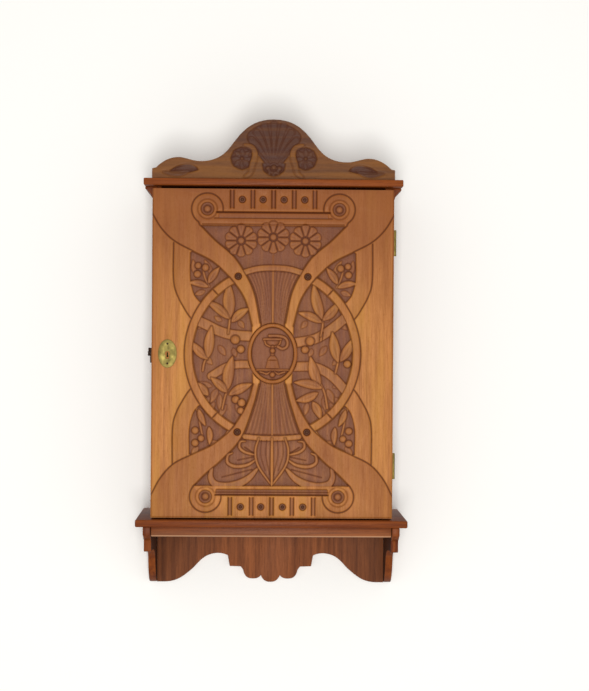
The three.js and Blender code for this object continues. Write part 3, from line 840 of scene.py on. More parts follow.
def warm_ribbons(relief):
    """The field takes on more of the ribbons' warmer tone towards the top, and less near the
    foot. The ribbons and mouldings have a warmer tone than the field."""
    heights = relief.z[:, None] + 0 * relief.x
    relief.tone = 0.72 * ramp((heights - 315) / 120)
    for side in (-1, 1):
        upper_out, upper_in = smooth(RIBBON_UPPER_OUT), smooth(RIBBON_UPPER_IN)[::-1]
        round_volute = arc(VOLUTES[0][0], VOLUTE_RADIUS, 236, 60)
        up = np.vstack([upper_out, upper_in, round_volute, [(-60, 503), (-190, 503)]])
        relief.warm(flip(up, side), 0.3)
        lower_out, lower_in = smooth(RIBBON_LOWER_OUT), smooth(RIBBON_LOWER_IN)[::-1]
        down = np.vstack([lower_out, [(-190, -2), (-60, -2)], lower_in])
        relief.warm(flip(down, side), 0.6)
        band = np.vstack([smooth(SIDE_BAND_OUT), smooth(SIDE_BAND_IN)[::-1]])
        relief.warm(flip(band, side), 0.3)
        relief.warm(flip(below(band), side), 0.3)
    relief.warm(rectangle(-112, 446, 112, 503), 0.6)
    relief.warm(rectangle(-120, -2, 120, 48), 0.3)
    half_ring = np.vstack([ring_arc("outer", 119, 241), ring_arc("inner", 241, 119)])
    for side in (-1, 1):
        relief.warm(flip(half_ring, side), 0.35)
    relief.tone *= 1 - 0.4 * ramp((70 - heights) / 50)


def cut_tablets(relief):
    """The rows of flutes and tablets and the straight mouldings at the top and bottom."""
    for low, high, spots in ((472, 499, (0, 31.5, 63)), (4, 31.5, (0, 31, 63.5))):
        for x in sorted({s * side for s in spots for side in (-1, 1)}):
            relief.sink(rectangle(x - 3.6, low, x + 3.6, high), 0.9, stain=0.55, wall=0.8)
            for shift in (-2.6, 2.6):
                relief.line([(x + shift, low), (x + shift, high)], 2.2, 1.9, dark=0.7)
    for x, z in TABLET_BEADS:
        for side in (-1, 1):
            relief.pit((side * x, z), 5.4, 2.4, stain=0.8)
            relief.ring((side * x, z), 4.8, 1.6, 2.6, dark=0.6, steps=28)
    relief.sink(rectangle(-84, 456, 84, 465), 0.8, stain=0.3, wall=1.0)
    relief.line([(-86, 465.5), (86, 465.5)], 3.4, 2.8)
    relief.line([(-90, 456.5), (90, 456.5)], 1.8, 1.2, dark=0.8)
    relief.line([(-108, 447), (108, 447)], 2.0, 1.4, dark=0.8)
    relief.sink(rectangle(-86, 34.5, 86, 43.5), 1.6, stain=0.75, wall=1.2)
    relief.line([(-86, 35.0), (86, 35.0)], 2.6, 2.6)
    relief.line([(-86, 39.2), (86, 39.2)], 1.6, 2.4, dark=0.8)
    relief.line([(-84, 43.5), (84, 43.5)], 1.6, 1.8, dark=0.8)


def reed(relief, low, high, ribbon, count, stain):
    """Reeds that fan out between the two ribbons from one height to another, up to 2.5 mm from
    the ribbons' edges."""
    corners = np.array([(-80, low), (80, high)], float)
    at, x, z = relief.near(corners, 0.5)
    edge = np.array(sorted((p[1], -p[0]) for p in smooth(ribbon).tolist()))
    half = np.interp(z, edge[:, 0], edge[:, 1]) - 2.5
    share = np.abs(x) / np.maximum(half, 1)
    wave = np.abs(np.sin(math.pi * count * share))
    fade = ramp((z - low) / 3) * ramp((high - z) / 3) * (share < 1)
    lift = fade * (0.7 + 0.8 * wave**0.6)
    ground = relief.height[at]
    relief.height[at] = np.where(share < 1, np.maximum(ground, -3.3 + lift), ground)
    seam = (1 - wave) ** 2 * 0.3 + 0.25 * share
    inside = (share < 1) & (fade > 0)
    relief.stain[at] = np.where(inside, stain + (0.95 - stain) * seam, relief.stain[at])
    relief.cut[at] = np.where(inside, 0.5 * (1 - wave) ** 2, relief.cut[at])
    relief.band([(0, low), (0, high)], 2.4, -1.5, stain=0.4)


def carve_sheaves(relief):
    """The two sheaves of reeds above and below the medallion, and their tie bands."""
    reed(relief, 292, 378, RIBBON_UPPER_IN, 7, 0.82)
    reed(relief, 126, 212, RIBBON_LOWER_IN, 6, 0.8)
    upper_tie = mirrored([(-47, 373), (-24, 379.5)], (0, 381))
    relief.band(smooth(upper_tie), 8, -0.9, stain=0.4)
    lower_tie = mirrored([(-41, 124), (-20, 122)], (0, 121.5))
    relief.band(smooth(lower_tie), 7, -0.9, stain=0.42)


# A leaf that lies on the ground, under the others.
LOW_LEAF = {"level": -2.7, "crown": 0.8, "vein": 0.4}
# Each leaf: its base, tip and width. The top leaves also have how far their middle is bent aside.
DEEP_LEAVES = [
    ((100, 300), (113, 288), 9), ((82, 262), (72, 248), 9), ((108, 252), (118, 262), 8),
    ((60, 258), (56, 246), 8), ((104, 246), (92, 234), 9), ((84, 196), (94, 176), 10),
    ((80, 188), (80, 164), 9), ((92, 200), (112, 206), 8), ((54, 176), (50, 158), 8),
    ((78, 300), (88, 306), 7), ((52, 300), (44, 290), 8), ((70, 172), (82, 152), 8),
    ((96, 184), (106, 168), 8), ((88, 176), (98, 158), 8),
]
# Each band: its path and width.
CRESCENT_BANDS = [
    ([(-124, 304), (-101, 294), (-85, 286), (-69, 280.5), (-52, 278), (-34, 277)], 14.0),
    ([(120, 316), (106, 302), (90, 289), (74, 278), (58, 271.5), (34, 267.5)], 13.5),
    ([(-34, 234), (-55, 233.5), (-72, 229), (-93, 216)], 11.0),
    ([(34, 231), (61, 231), (80, 224), (97, 211), (117, 188)], 13.0),
]
STEMS = [
    [(-65, 310), (-66, 296), (-68, 281)],
    [(75, 306), (76, 293), (73, 278)],
    [(-68, 196), (-72, 184), (-76, 166)],
    [(74, 204), (80, 190), (84, 168)],
    [(-99, 246), (-104, 236), (-106, 224)],
    [(101, 242), (98, 230), (96, 222)],
]
TOP_LEAVES = [
    ((-65, 306), (-67, 357), 17, 1), ((-67, 304), (-101, 330), 12, -2),
    ((-62, 299), (-37, 319), 12, 2), ((-99, 242), (-125, 268), 12.5, 1),
    ((-98, 245), (-93, 291), 14.5, 1), ((-69, 196), (-61, 245), 16, 2),
    ((-70, 192), (-93, 213), 12, -1), ((-65, 188), (-32, 204), 13, 1),
    ((-98, 187), (-118, 206), 12, -1), ((75, 304), (62, 356), 15, 2),
    ((77, 302), (101, 330), 12.5, -2), ((74, 299), (40, 313), 11.5, -2),
    ((100, 239), (91, 283), 15, 1), ((104, 240), (123, 274), 13.5, -1),
    ((72, 202), (58, 245), 15, 2), ((75, 199), (34, 207), 12.5, -2),
    ((69, 191), (37, 179), 12, 2), ((62, 177), (74, 152), 12, 1),
]
# Each berry: its place and radius.
CRESCENT_BERRIES = [
    (-57, 271.5, 6.6), (-48.5, 257, 5.6), (57, 270, 6.6), (49.5, 257, 5.4), (114, 235.5, 5.4),
    (-56, 180.5, 5.6), (-46.5, 175.5, 5.8), (-48, 163.5, 5.0),
]


def carve_crescents(relief):
    """Leaves, bands and berries between the ring and the medallion. Those that lie deepest
    come first: dark leaves on the ground, then the bands, then the leaves on top."""
    for side in (-1, 1):
        for base, tip, width in DEEP_LEAVES:
            relief.leaf(*flip([base, tip], side), width, stain=0.72, **LOW_LEAF)
    for path, width in CRESCENT_BANDS:
        relief.band(smooth(path), width, -1.2, stain=0.5)
    for x in (72.5, 77):
        relief.line([(x, 284), (x - 1.5, 269)], 1.6, 2.0)
    for path in STEMS:
        relief.band(smooth(path), 2.4, -1.6, stain=0.5)
    for base, tip, width, bend in TOP_LEAVES:
        relief.leaf(base, tip, width, bend=bend)
    for x, z, radius in CRESCENT_BERRIES:
        relief.berry((x, z), radius, level=-1.9, stain=0.5)


# The sprigs of the right-hand corners. Back leaves are a base and a tip; leaves and berries
# are given as above.
SPRIGS = [
    {
        "back": [((104, 345), (118, 340)), ((92, 370), (104, 392)), ((119, 372), (122, 392))],
        "stem": [(97, 352), (103, 364), (107, 378)],
        "leaves": [((98, 358), (82, 381), 10.5, -1), ((99, 352), (128, 358), 9.5, 2)],
        "berries": [(103, 381, 5.2), (114, 384, 4.6), (115, 371, 5.2)],
    },
    {
        "back": [((104, 158), (117, 168)), ((98, 112), (82, 116)), ((112, 108), (122, 98))],
        "stem": [(112, 160), (110, 144), (106, 126)],
        "leaves": [((112, 165), (102, 141), 9, 1), ((96, 138), (95, 112), 8.5, -1)],
        "berries": [(117, 133, 5.2), (108, 121, 4.8), (117, 114, 5.2)],
    },
]


def carve_spandrels(relief):
    """A sprig in each of the four corner grounds outside the ring."""
    for side in (-1, 1):
        for sprig in SPRIGS:
            for ends in sprig["back"]:
                relief.leaf(*flip(ends, side), 8, stain=0.6, **LOW_LEAF)
            relief.band(flip(smooth(sprig["stem"]), side), 2.2, -2.0, stain=0.55)
            for base, tip, width, bend in sprig["leaves"]:
                relief.leaf(*flip([base, tip], side), width, bend=bend * side, stain=0.54)
            for x, z, radius in sprig["berries"]:
                relief.berry((side * x, z), radius, stain=0.62)


def carve_palmette(relief):
    """The spread of scrolled leaves at the foot of the lower sheaf."""
    scrolls = [
        ([(24, 96), (40, 100), (49, 107), (48, 116), (40, 117)], 3.4),
        ([(23, 90), (37, 81), (55, 78.5), (67, 84), (67, 95), (60, 99)], 4.4),
        ([(22, 75), (35, 61), (51, 52), (70, 48), (87, 52), (93, 63), (91, 76)], 11.0),
    ]
    for side in (-1, 1):
        for path, width in scrolls:
            relief.band(flip(smooth(path), side), width, -1.0, stain=0.58, taper=0.75)
        stalk = smooth([(20, 122), (25, 103), (21, 80), (1, 51)])
        relief.band(flip(stalk, side), 2.6, -1.3, stain=0.55, taper=0.3)
        for fold in ([(8, 118), (9, 95), (2, 62)], [(16, 118), (17, 96), (10, 72)]):
            relief.line(flip(smooth(fold), side), 1.6, 3.9, dark=0.7)
        for start, end in (((28, 93), (52, 88)), ((28, 99), (42, 108)), ((30, 74), (76, 62))):
            relief.line(flip([start, end], side), 2.0, 4.2, dark=0.7)
    relief.band([(0, 50), (0, 122)], 3.2, -1.3, stain=0.2, taper=0.4)


def carved_door(settings):
    """The whole relief of the door's front."""
    coarser = 1
    step = settings.door_step / MM * coarser
    height = (DOOR_HIGH.z - DOOR_LOW.z) / MM
    relief = Relief((DOOR_LOW.x / MM, 0), (DOOR_HIGH.x / MM, height), step)
    width, depth, deep = settings.line_width / MM, settings.line_depth / MM, settings.ground / MM
    warm_ribbons(relief)
    grounds = cut_grounds(relief, deep)
    cut_outlines(relief, width, depth)
    relief.window = grounds
    carve_sheaves(relief)
    carve_palmette(relief)
    carve_crescents(relief)
    carve_spandrels(relief)
    relief.window = np.ones_like(grounds)
    cut_tablets(relief)
    for centre in DAISIES:
        relief.daisy(centre, 24.5)
    for x, z in BOSSES:
        for side in (-1, 1):
            relief.pit((side * x, z), 5.8, 3.0, stain=1.0)
            relief.ring((side * x, z), 4.4, 2.6, 3.2, dark=0.8, steps=28)
    medal_half = (MEDAL_HIGH - MEDAL_LOW) / 2 / MM
    middle = (MEDAL_HIGH + MEDAL_LOW).z / 2 / MM - DOOR_LOW.z / MM
    # The seat is sunk and stained dark; the dark ring it leaves round the medallion is painted shade as
    # well as stain.
    seat = arc((0, middle), (medal_half.x + 1.5, medal_half.z + 1.5), 0, 360, 90)
    relief.sink(seat, 3.7, stain=0.9, wall=0.7)
    rubbed = 0.8
    left, right = DOOR_LOW.x / MM + rubbed, DOOR_HIGH.x / MM - rubbed
    upright = [[(x, 0), (x, height)] for x in (left, right)]
    for path in (*upright, [(left, rubbed), (right, rubbed)]):
        relief.line(path, 2.4, 0.7, dark=0.45)
    relief.finish(0.45)
    relief.z += DOOR_LOW.z / MM
    return relief


# ---------- operators ----------
class KEYCAB_OT_door(bpy.types.Operator):
    """Carve the door's board, and cut its hinge mortises and keyhole"""

    bl_idname = "key_cabinet.door"
    bl_label = "Carved Door"

    def execute(self, context):
        settings = context.scene.key_cabinet_carving
        relief = carved_door(settings)
        door = relief.slab("door_carved", DOOR_LOW.y, DOOR_HIGH.y)
        gap, past = 0.3 * MM, 10 * MM
        for node in ("hinge_top_door_leaf", "hinge_bottom_door_leaf"):
            low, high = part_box(node)
            near = (low.x - gap, low.y - gap, low.z - gap)
            far = (DOOR_HIGH.x + past, high.y + past, high.z + gap)
            combine(door, box_tool("mortise", near, far), "DIFFERENCE")
        middle = (PLATE_LOW + PLATE_HIGH) / 2
        near = (middle.x - 1.3 * MM, DOOR_LOW.y - past, middle.z - 5.5 * MM)
        far = (middle.x + 1.3 * MM, DOOR_HIGH.y + past, middle.z + 2 * MM)
        combine(door, box_tool("keyhole", near, far), "DIFFERENCE")
        thin_out(door, settings.most_faces)
        relief.colour(door, DOOR_LOW.y)
        shade(door, 50)
        dress(door, finish_named("waxed_walnut_carved"), "door")
        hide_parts("door_panel")
        return {"FINISHED"}


class KEYCAB_OT_medallion(bpy.types.Operator):
    """Carve the oval plaque with the footed cup"""

    bl_idname = "key_cabinet.medallion"
    bl_label = "Medallion"

    def execute(self, context):
        settings = context.scene.key_cabinet_carving
        half = (MEDAL_HIGH - MEDAL_LOW) / 2 / MM
        middle = (MEDAL_HIGH + MEDAL_LOW).z / 2 / MM
        corner = (half.x + 1, half.z + 1)
        relief = Relief((-corner[0], -corner[1]), corner, settings.medal_step / MM)
        relief.warm(arc((0, 0), corner, 0, 360), 0.7)
        self.carve(relief, half)
        relief.finish(0.4)
        relief.z += middle
        plaque = relief.slab("medallion_carved", MEDAL_LOW.y, MEDAL_HIGH.y)
        edge = oval_tool("edge", half, middle, MEDAL_LOW.y - MM, MEDAL_HIGH.y + MM)
        combine(plaque, edge, "INTERSECT")
        relief.colour(plaque, MEDAL_LOW.y)
        shade(plaque, 50)
        dress(plaque, finish_named("waxed_walnut_carved"), "door")
        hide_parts("door_medallion")
        return {"FINISHED"}

    def oval(self, half, inset):
        """The medallion's outline, moved in by some mm."""
        return arc((0, 0), (half.x - inset, half.z - inset), 0, 360, 90)

    def carve(self, relief, half):
        """A rounded rim, a sunk field, and a cup on a bell foot with a curling band."""
        rim_line = self.oval(half, 2.4)
        at, x, z = relief.near(rim_line, 4)
        distance, _ = to_path(x, z, rim_line)
        relief.height[at] -= 0.9 * np.clip(distance / 2.6, 0, 1) ** 2
        relief.sink(self.oval(half, 5.0), 2.8, stain=0.75, wall=2.4)
        relief.line(self.oval(half, 5.8), 2.0, 3.1, dark=0.95)
        field = -2.9
        relief.band([(-13, 21.5), (-6, 21.8), (6, 21.8), (12.5, 21.5)], 3.2, -1.5, stain=0.5)
        bowl = smooth(mirrored([(-12, 19), (-9.5, 13.5)], (0, 10)))
        at, x, z = relief.near(bowl, 4)
        relief.put(at, to_outline(x, z, bowl), -1.7 - 0.015 * x**2, field, 0.45)
        relief.band(bowl, 1.8, -1.3, stain=0.5)
        loop = [(8, 10.5), (15, 7.5), (21.5, 11), (22.5, 18.5), (18, 24.5), (8, 27), (-5, 27)]
        relief.band(smooth(loop), 3.4, -1.5, stain=0.5)
        relief.band([(0, 10), (0, -6)], 4.2, -1.5, stain=0.5)
        relief.berry((0, 4.5), 3.6, level=-2.0, stain=0.4)
        foot = np.array(mirrored([(3, -4), (7, -9), (8, -15), (10, -22)]), float)
        at, x, z = relief.near(foot, 4)
        relief.put(at, to_outline(x, z, foot), -1.3 - 0.008 * x**2, field, 0.3)
        relief.line([(-7, -10), (7, -10)], 1.2, 2.4, dark=0.8)
        shelf = -25.0
        relief.band([(-24, shelf), (24, shelf)], 2.0, -1.6, stain=0.4)
        for side in (-1, 1):
            curl = [(3, shelf - 3), (9, shelf - 6), (15, shelf - 4), (19, shelf - 3)]
            relief.band(flip(smooth(curl), side), 2.2, -1.8, stain=0.5)
            relief.line(flip([(12, shelf - 7), (16, shelf - 6)], side), 1.4, 3.3, dark=0.9)
        relief.berry((0, shelf - 7), 3.8, level=-2.0, stain=0.45)


class KEYCAB_OT_crest(bpy.types.Operator):
    """Carve the crest board with its shell, rosettes and end leaves"""

    bl_idname = "key_cabinet.crest"
    bl_label = "Crest"

    def execute(self, context):
        settings = context.scene.key_cabinet_carving
        coarser = 1
        step = settings.crest_step / MM * coarser
        low, high = CREST_LOW / MM, CREST_HIGH / MM
        relief = Relief((low.x - 2, low.z - 2), (high.x + 2, high.z + 2), step)
        self.carve(relief)
        relief.cut *= 0.55
        relief.finish(0.6)
        crest = relief.slab("crest_carved", CREST_LOW.y, CREST_HIGH.y + 4 * MM)
        outline = merged_copy("crest_board", "outline")
        for vertex in outline.data.vertices:
            if vertex.co.y < CREST_LOW.y + MM:
                vertex.co.y -= 2 * MM
        combine(crest, outline, "INTERSECT")
        thin_out(crest, settings.most_faces)
        relief.colour(crest, CREST_LOW.y)
        shade(crest, 50)
        dress(crest, finish_named("stained_walnut_carved"), "cabinet")
        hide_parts("crest_board")
        return {"FINISHED"}

    def carve(self, relief):
        """The shell in the middle, a rosette and a scroll on each side, and a leaf at each end.
        The finish is darkest over the dome."""
        base = CREST_LOW.z / MM
        x, z = np.meshgrid(relief.x, relief.z - base)
        relief.stain = 0.1 + 0.5 * ramp((80 - np.abs(x)) / 25) * ramp((z - 36) / 22)
        self.shell(relief, base)
        for side in (-1, 1):
            eye = (side * 48.5, base + 31.5)
            relief.sink(arc(eye, 18.0, 0, 360, 40), 2.4, stain=0.95, wall=2.5)
            relief.berry(eye, 4.2, level=-2.6, stain=0.95)
            for k in range(8):
                way = np.array([math.cos(k * math.pi / 4), math.sin(k * math.pi / 4)])
                relief.leaf(eye + way * 4, eye + way * 15.5, 7.5, -2.5, 0.6, stain=0.95, vein=0.2)
            scroll = [(44, 52), (34, 49), (29, 41), (30, 31), (33, 22), (36, 10), (43, 4)]
            relief.band(flip(smooth(np.array(scroll) + (0, base)), side), 8.5, -0.3, stain=0.0, taper=0.5)
            hollow = [(113, 13), (128, 9), (144, 8), (160, 10), (148, 19), (132, 21), (118, 18)]
            relief.sink(flip(smooth(np.array(hollow) + (0, base)), side), 1.9, stain=0.9)
            heel, tip = (side * 118, base + 15.5), (side * 168, base + 10)
            relief.leaf(heel, (side * 150, base + 14.5), 9, -2.0, 1.1, bend=side * 1.5, stain=0.9)
            relief.leaf((side * 128, base + 12), tip, 8, -1.8, 1.2, bend=side * -3, stain=0.7)

    def shell(self, relief, base):
        """Broad lobes that spread from a small scalloped foot to the edge of the dome."""
        foot = np.array([0, base + 18.0])
        dome = mirrored([(-14, 22), (-27, 42), (-42, 64), (-28, 80)], (0, 86.5))
        relief.sink(smooth(np.array(dome) + (0, base)), 1.6, stain=0.85)
        for angle in np.radians(np.linspace(142, 38, 9)):
            way = np.array([math.cos(angle), math.sin(angle)])
            start, end = foot + way * 10, foot + way * (44 + 22 * math.sin(angle) ** 3)
            bow = np.array([way[0] * -2.5, 2.5 * abs(way[0])])
            path = smooth([start, (start + end) / 2 + bow, end], 6)
            at, x, z = relief.near(path, 9)
            distance, along = to_path(x, z, path)
            half = 1.4 + 3.4 * along
            top = -2.9 + 1.4 * np.minimum(distance / half, 1) ** 2
            relief.put(at, half - distance, top, WALL_FOOT, 1.0, wall=0.6)
        cup = smooth(np.array(mirrored([(-19, 25), (-15, 11)], (0, 5))) + (0, base))
        relief.sink(cup, 2.0, stain=0.8)
        for k in range(5):
            angle = math.radians(-90 + (k - 2) * 38)
            way = np.array([math.cos(angle), math.sin(angle)])
            relief.berry(foot + way * 8.5, 4.6, level=-2.6, stain=0.8)
        relief.berry(foot, 4.2, level=-2.2, stain=0.7)


# Each board's finish, its slot, and its share of the worn edges' width.
BOARDS = {
    "side_left": ("red_walnut_upright", "red_wood", 1.0),
    "side_right": ("red_walnut_upright", "red_wood", 1.0),
    "top_board": ("red_walnut_level", "red_wood", 1.6),
    "base_shelf": ("red_walnut_level", "red_wood", 2.2),
    "front_rail": ("red_walnut_level", "red_wood", 1.2),
    "side_moulding_left": ("red_walnut_level", "red_wood", 0.5),
    "side_moulding_right": ("red_walnut_level", "red_wood", 0.5),
    "bracket_left": ("red_walnut_upright", "red_wood", 1.0),
    "bracket_right": ("red_walnut_upright", "red_wood", 1.0),
    "back_board": ("dark_walnut_upright", "dark_wood", 1.0),
    "crest_block_left": ("bare_pine", "inner_wood", 0.8),
    "crest_block_right": ("bare_pine", "inner_wood", 0.8),
    "key_rail_upper": ("bare_pine", "inner_wood", 1.4),
    "key_rail_middle": ("bare_pine", "inner_wood", 1.4),
    "key_rail_lower": ("bare_pine", "inner_wood", 1.4),
}


def mark_painted_light(board, node):
    """Notes where light is painted on the boards: a painted highlight on the rail's lower lip and
    its face painted lighter towards the bottom, and painted shade on the brackets' inner faces."""
    low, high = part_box(node)
    inner = low.x if node.endswith("right") else high.x
    values = np.zeros((len(board.data.vertices), 4), np.float32)
    for vertex, value in zip(board.data.vertices, values):
        x, y, z = vertex.co
        if node == "front_rail":
            # Painted light on the rail: a highlight along its lower lip, and its face painted lighter
            # towards the bottom, darker at the top where the shelf shades it.
            highlight_lip = low.z + 0.5 * MM < z < low.z + 2.6 * MM and y < low.y + 4 * MM
            value[0] = 1 if highlight_lip else 0.24 * (high.z - z) / (high.z - low.z)
        if node.startswith("bracket"):
            # Painted shade on the inner face of each bracket.
            value[1] = abs(x - inner) < 0.1 * MM
    attribute = board.data.attributes.new("painted_light", "FLOAT_COLOR", "POINT")
    attribute.data.foreach_set("color", values.ravel())


class KEYCAB_OT_boards(bpy.types.Operator):
    """Give the plain boards of the case worn, rounded edges"""

    bl_idname = "key_cabinet.boards"
    bl_label = "Plain Boards"

    def execute(self, context):
        edge = context.scene.key_cabinet_hardware.edge
        for node, (finish, slot, share) in BOARDS.items():
            board = merged_copy(node, f"{node}_worn")
            round_edges(board, edge * share)
            mark_painted_light(board, node)
            shade(board)
            dress(board, finish_named(finish), "cabinet")
            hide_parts(node)
        return {"FINISHED"}


METAL_PIECES = {
    "aged_brass": [
        "hanger_plate_left", "hanger_plate_right", "strike_plate", "escutcheon",
        "hinge_top_case_leaf", "hinge_top_door_leaf", "hinge_top_pin",
        "hinge_bottom_case_leaf", "hinge_bottom_door_leaf", "hinge_bottom_pin",
        "lock_case", "lock_cap", "lock_cap_screw_upper", "lock_cap_screw_lower",
        "lock_bolt", "lock_lever",
    ],
    "browned_iron": [
        "escutcheon_pin_top", "escutcheon_pin_bottom", "hook_arm", "hook_screw", "hook_stud",
    ],
}
# Pieces whose edges are filed round, and by how many mm.
FILED = {"escutcheon": 0.45, "lock_case": 0.3, "lock_cap": 0.3, "hook_arm": 0.35, "hook_screw": 0.3}


class KEYCAB_OT_metalwork(bpy.types.Operator):
    """Finish the hinges, the lock, the escutcheon and the side hook"""

    bl_idname = "key_cabinet.metalwork"
    bl_label = "Metalwork"

    def execute(self, context):
        for finish, names in METAL_PIECES.items():
            for name in names:
                node = NODES[name]
                node.data.materials.clear()
                node.data.materials.append(finish_named(finish))
                if name in FILED:
                    self.file(name, finish)
        self.spring()
        return {"FINISHED"}

    def file(self, name, finish):
        """Puts a piece with rounded edges in a node's place."""
        piece = merged_copy(name, f"{name}_filed")
        round_edges(piece, FILED[name] * MM)
        shade(piece)
        dress(piece, finish_named(finish), NODES[name]["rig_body"])
        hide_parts(name)

    def spring(self):
        """The lever's spring, copied from its node in browned iron. It keeps its shape and does not
        bend with the lever."""
        spring = merged_copy("lever_spring", "lever_spring_bent")
        shade(spring)
        spring.data.materials.append(finish_named("browned_iron"))
        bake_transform(spring)
        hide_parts("lever_spring")


# ---------- repeated pieces ----------
class Tree:
    """A Geometry Nodes tree that is built step by step."""

    def __init__(self, name, lengths):
        self.tree = bpy.data.node_groups.new(name, "GeometryNodeTree")
        face = self.tree.interface
        face.new_socket("Points", in_out="INPUT", socket_type="NodeSocketGeometry")
        for label in lengths:
            face.new_socket(label, in_out="INPUT", socket_type="NodeSocketFloat").subtype = "DISTANCE"
        face.new_socket("Material", in_out="INPUT", socket_type="NodeSocketMaterial")
        face.new_socket("Mesh", in_out="OUTPUT", socket_type="NodeSocketGeometry")
        self.given = self.add("NodeGroupInput").outputs

    def add(self, kind, inputs=(), **settings):
        return add_node(self.tree, kind, inputs, **settings)

    def vector(self, x=0.0, y=0.0, z=0.0):
        return self.add("ShaderNodeCombineXYZ", {0: x, 1: y, 2: z}).outputs[0]

    def times(self, length, share):
        return calc(self.tree, "MULTIPLY", length, share)

    def disc(self, sides, radius, share, depth):
        """A flat cone whose top is a share of its foot's radius."""
        inputs = {
            "Vertices": sides, "Radius Top": self.times(radius, share),
            "Radius Bottom": radius, "Depth": depth,
        }
        return self.add("GeometryNodeMeshCone", inputs).outputs[0]

    def join(self, first, second):
        both = self.add("GeometryNodeJoinGeometry", {0: first})
        self.tree.links.new(second, both.inputs[0])
        return both.outputs[0]

    def close(self, shape):
        """Puts the shape on every point, turned as the point's "turn" says and grown as its
        "grow" says, and ends the tree."""
        turn = self.add("GeometryNodeInputNamedAttribute", {"Name": "turn"}, data_type="FLOAT_VECTOR")
        grow = self.add("GeometryNodeInputNamedAttribute", {"Name": "grow"}, data_type="FLOAT")
        spin = self.add("FunctionNodeEulerToRotation", {0: turn.outputs[0]})
        placed = {
            "Points": self.given["Points"], "Instance": shape,
            "Rotation": spin.outputs[0], "Scale": grow.outputs[0],
        }
        copies = self.add("GeometryNodeInstanceOnPoints", placed)
        real = self.add("GeometryNodeRealizeInstances", {0: copies.outputs[0]})
        inputs = {"Geometry": real.outputs[0], "Material": self.given["Material"]}
        dressed = self.add("GeometryNodeSetMaterial", inputs)
        self.add("NodeGroupOutput", {0: dressed.outputs[0]})
        return self.tree


def screw_tree():
    """A countersunk head that stands a little proud, with a slot. It faces +Z before its turn."""
    make = Tree("slotted_screw_heads", ["Radius", "Proud", "Slot"])
    radius, proud, slot = (make.given[n] for n in ("Radius", "Proud", "Slot"))
    head = make.disc(20, radius, 0.82, proud)
    blade = make.add("GeometryNodeMeshCube", {"Size": make.vector(make.times(radius, 2.4), slot, proud)})
    up = make.vector(0.0, 0.0, make.times(proud, 0.9))
    lifted = make.add("GeometryNodeTransform", {"Geometry": blade.outputs[0], "Translation": up})
    cut = make.add("GeometryNodeMeshBoolean", {0: head, 1: lifted.outputs[0]}, operation="DIFFERENCE")
    cut.solver = "EXACT"
    return make.close(cut.outputs[0])


def bead_tree():
    """A round bead, half sunk where its point lies."""
    make = Tree("carved_beads", ["Radius"])
    inputs = {"Segments": 20, "Rings": 12, "Radius": make.given["Radius"]}
    ball = make.add("GeometryNodeMeshUVSphere", inputs)
    smooth_ball = make.add("GeometryNodeSetShadeSmooth", {0: ball.outputs[0]})
    return make.close(smooth_ball.outputs[0])


def hook_tree():
    """A wire hook that comes straight out, bends once and stands up, with a round flange."""
    make = Tree("key_hooks", ["Wire", "Out", "Up", "Bend", "Flange"])
    wire, out, up, bend, flange = (make.given[n] for n in ("Wire", "Out", "Up", "Bend", "Flange"))
    far = calc(make.tree, "SUBTRACT", wire, out)
    corner, top = make.vector(0.0, far, 0.0), make.vector(0.0, far, up)
    first = make.add("GeometryNodeCurvePrimitiveLine", {"Start": make.vector(), "End": corner})
    second = make.add("GeometryNodeCurvePrimitiveLine", {"Start": corner, "End": top})
    both = make.join(first.outputs[0], second.outputs[0])
    points = make.add("GeometryNodeCurveToMesh", {"Curve": both})
    merged = make.add("GeometryNodeMergeByDistance", {"Geometry": points.outputs[0], "Distance": 1e-5})
    path = make.add("GeometryNodeMeshToCurve", {"Mesh": merged.outputs[0]})
    fillet = {"Curve": path.outputs[0], "Radius": bend, "Count": 8}
    bent = make.add("GeometryNodeFilletCurve", fillet, mode="POLY")
    ring = make.add("GeometryNodeCurvePrimitiveCircle", {"Resolution": 12, "Radius": wire})
    inputs = {"Curve": bent.outputs[0], "Profile Curve": ring.outputs["Curve"], "Fill Caps": True}
    tube = make.add("GeometryNodeCurveToMesh", inputs)
    turned = make.add("GeometryNodeTransform", {"Geometry": make.disc(24, flange, 0.7, wire)})
    turned.inputs["Rotation"].default_value = (math.radians(90), 0, 0)
    return make.close(make.join(tube.outputs[0], turned.outputs[0]))


def repeat(name, tree, spots, lengths, material, body):
    """Copies a tree's shape to some spots, each a place with its turn in radians and its growth."""
    places, turns, growths = zip(*spots)
    mesh = bpy.data.meshes.new(name)
    mesh.from_pydata(places, [], [])
    turn = mesh.attributes.new("turn", "FLOAT_VECTOR", "POINT")
    turn.data.foreach_set("vector", np.array(turns, np.float32).ravel())
    grow = mesh.attributes.new("grow", "FLOAT", "POINT")
    grow.data.foreach_set("value", np.array(growths, np.float32))
    piece = new_object(name, mesh)
    live = piece.modifiers.new("copies", "NODES")
    items = tree.interface.items_tree
    sockets = {item.name: item.identifier for item in items if item.in_out == "INPUT"}
    live.node_group = tree
    for label, value in {**lengths, "Material": material}.items():
        live[sockets[label]] = value
    settle(piece)
    shade(piece)
    return dress(piece, material, body)


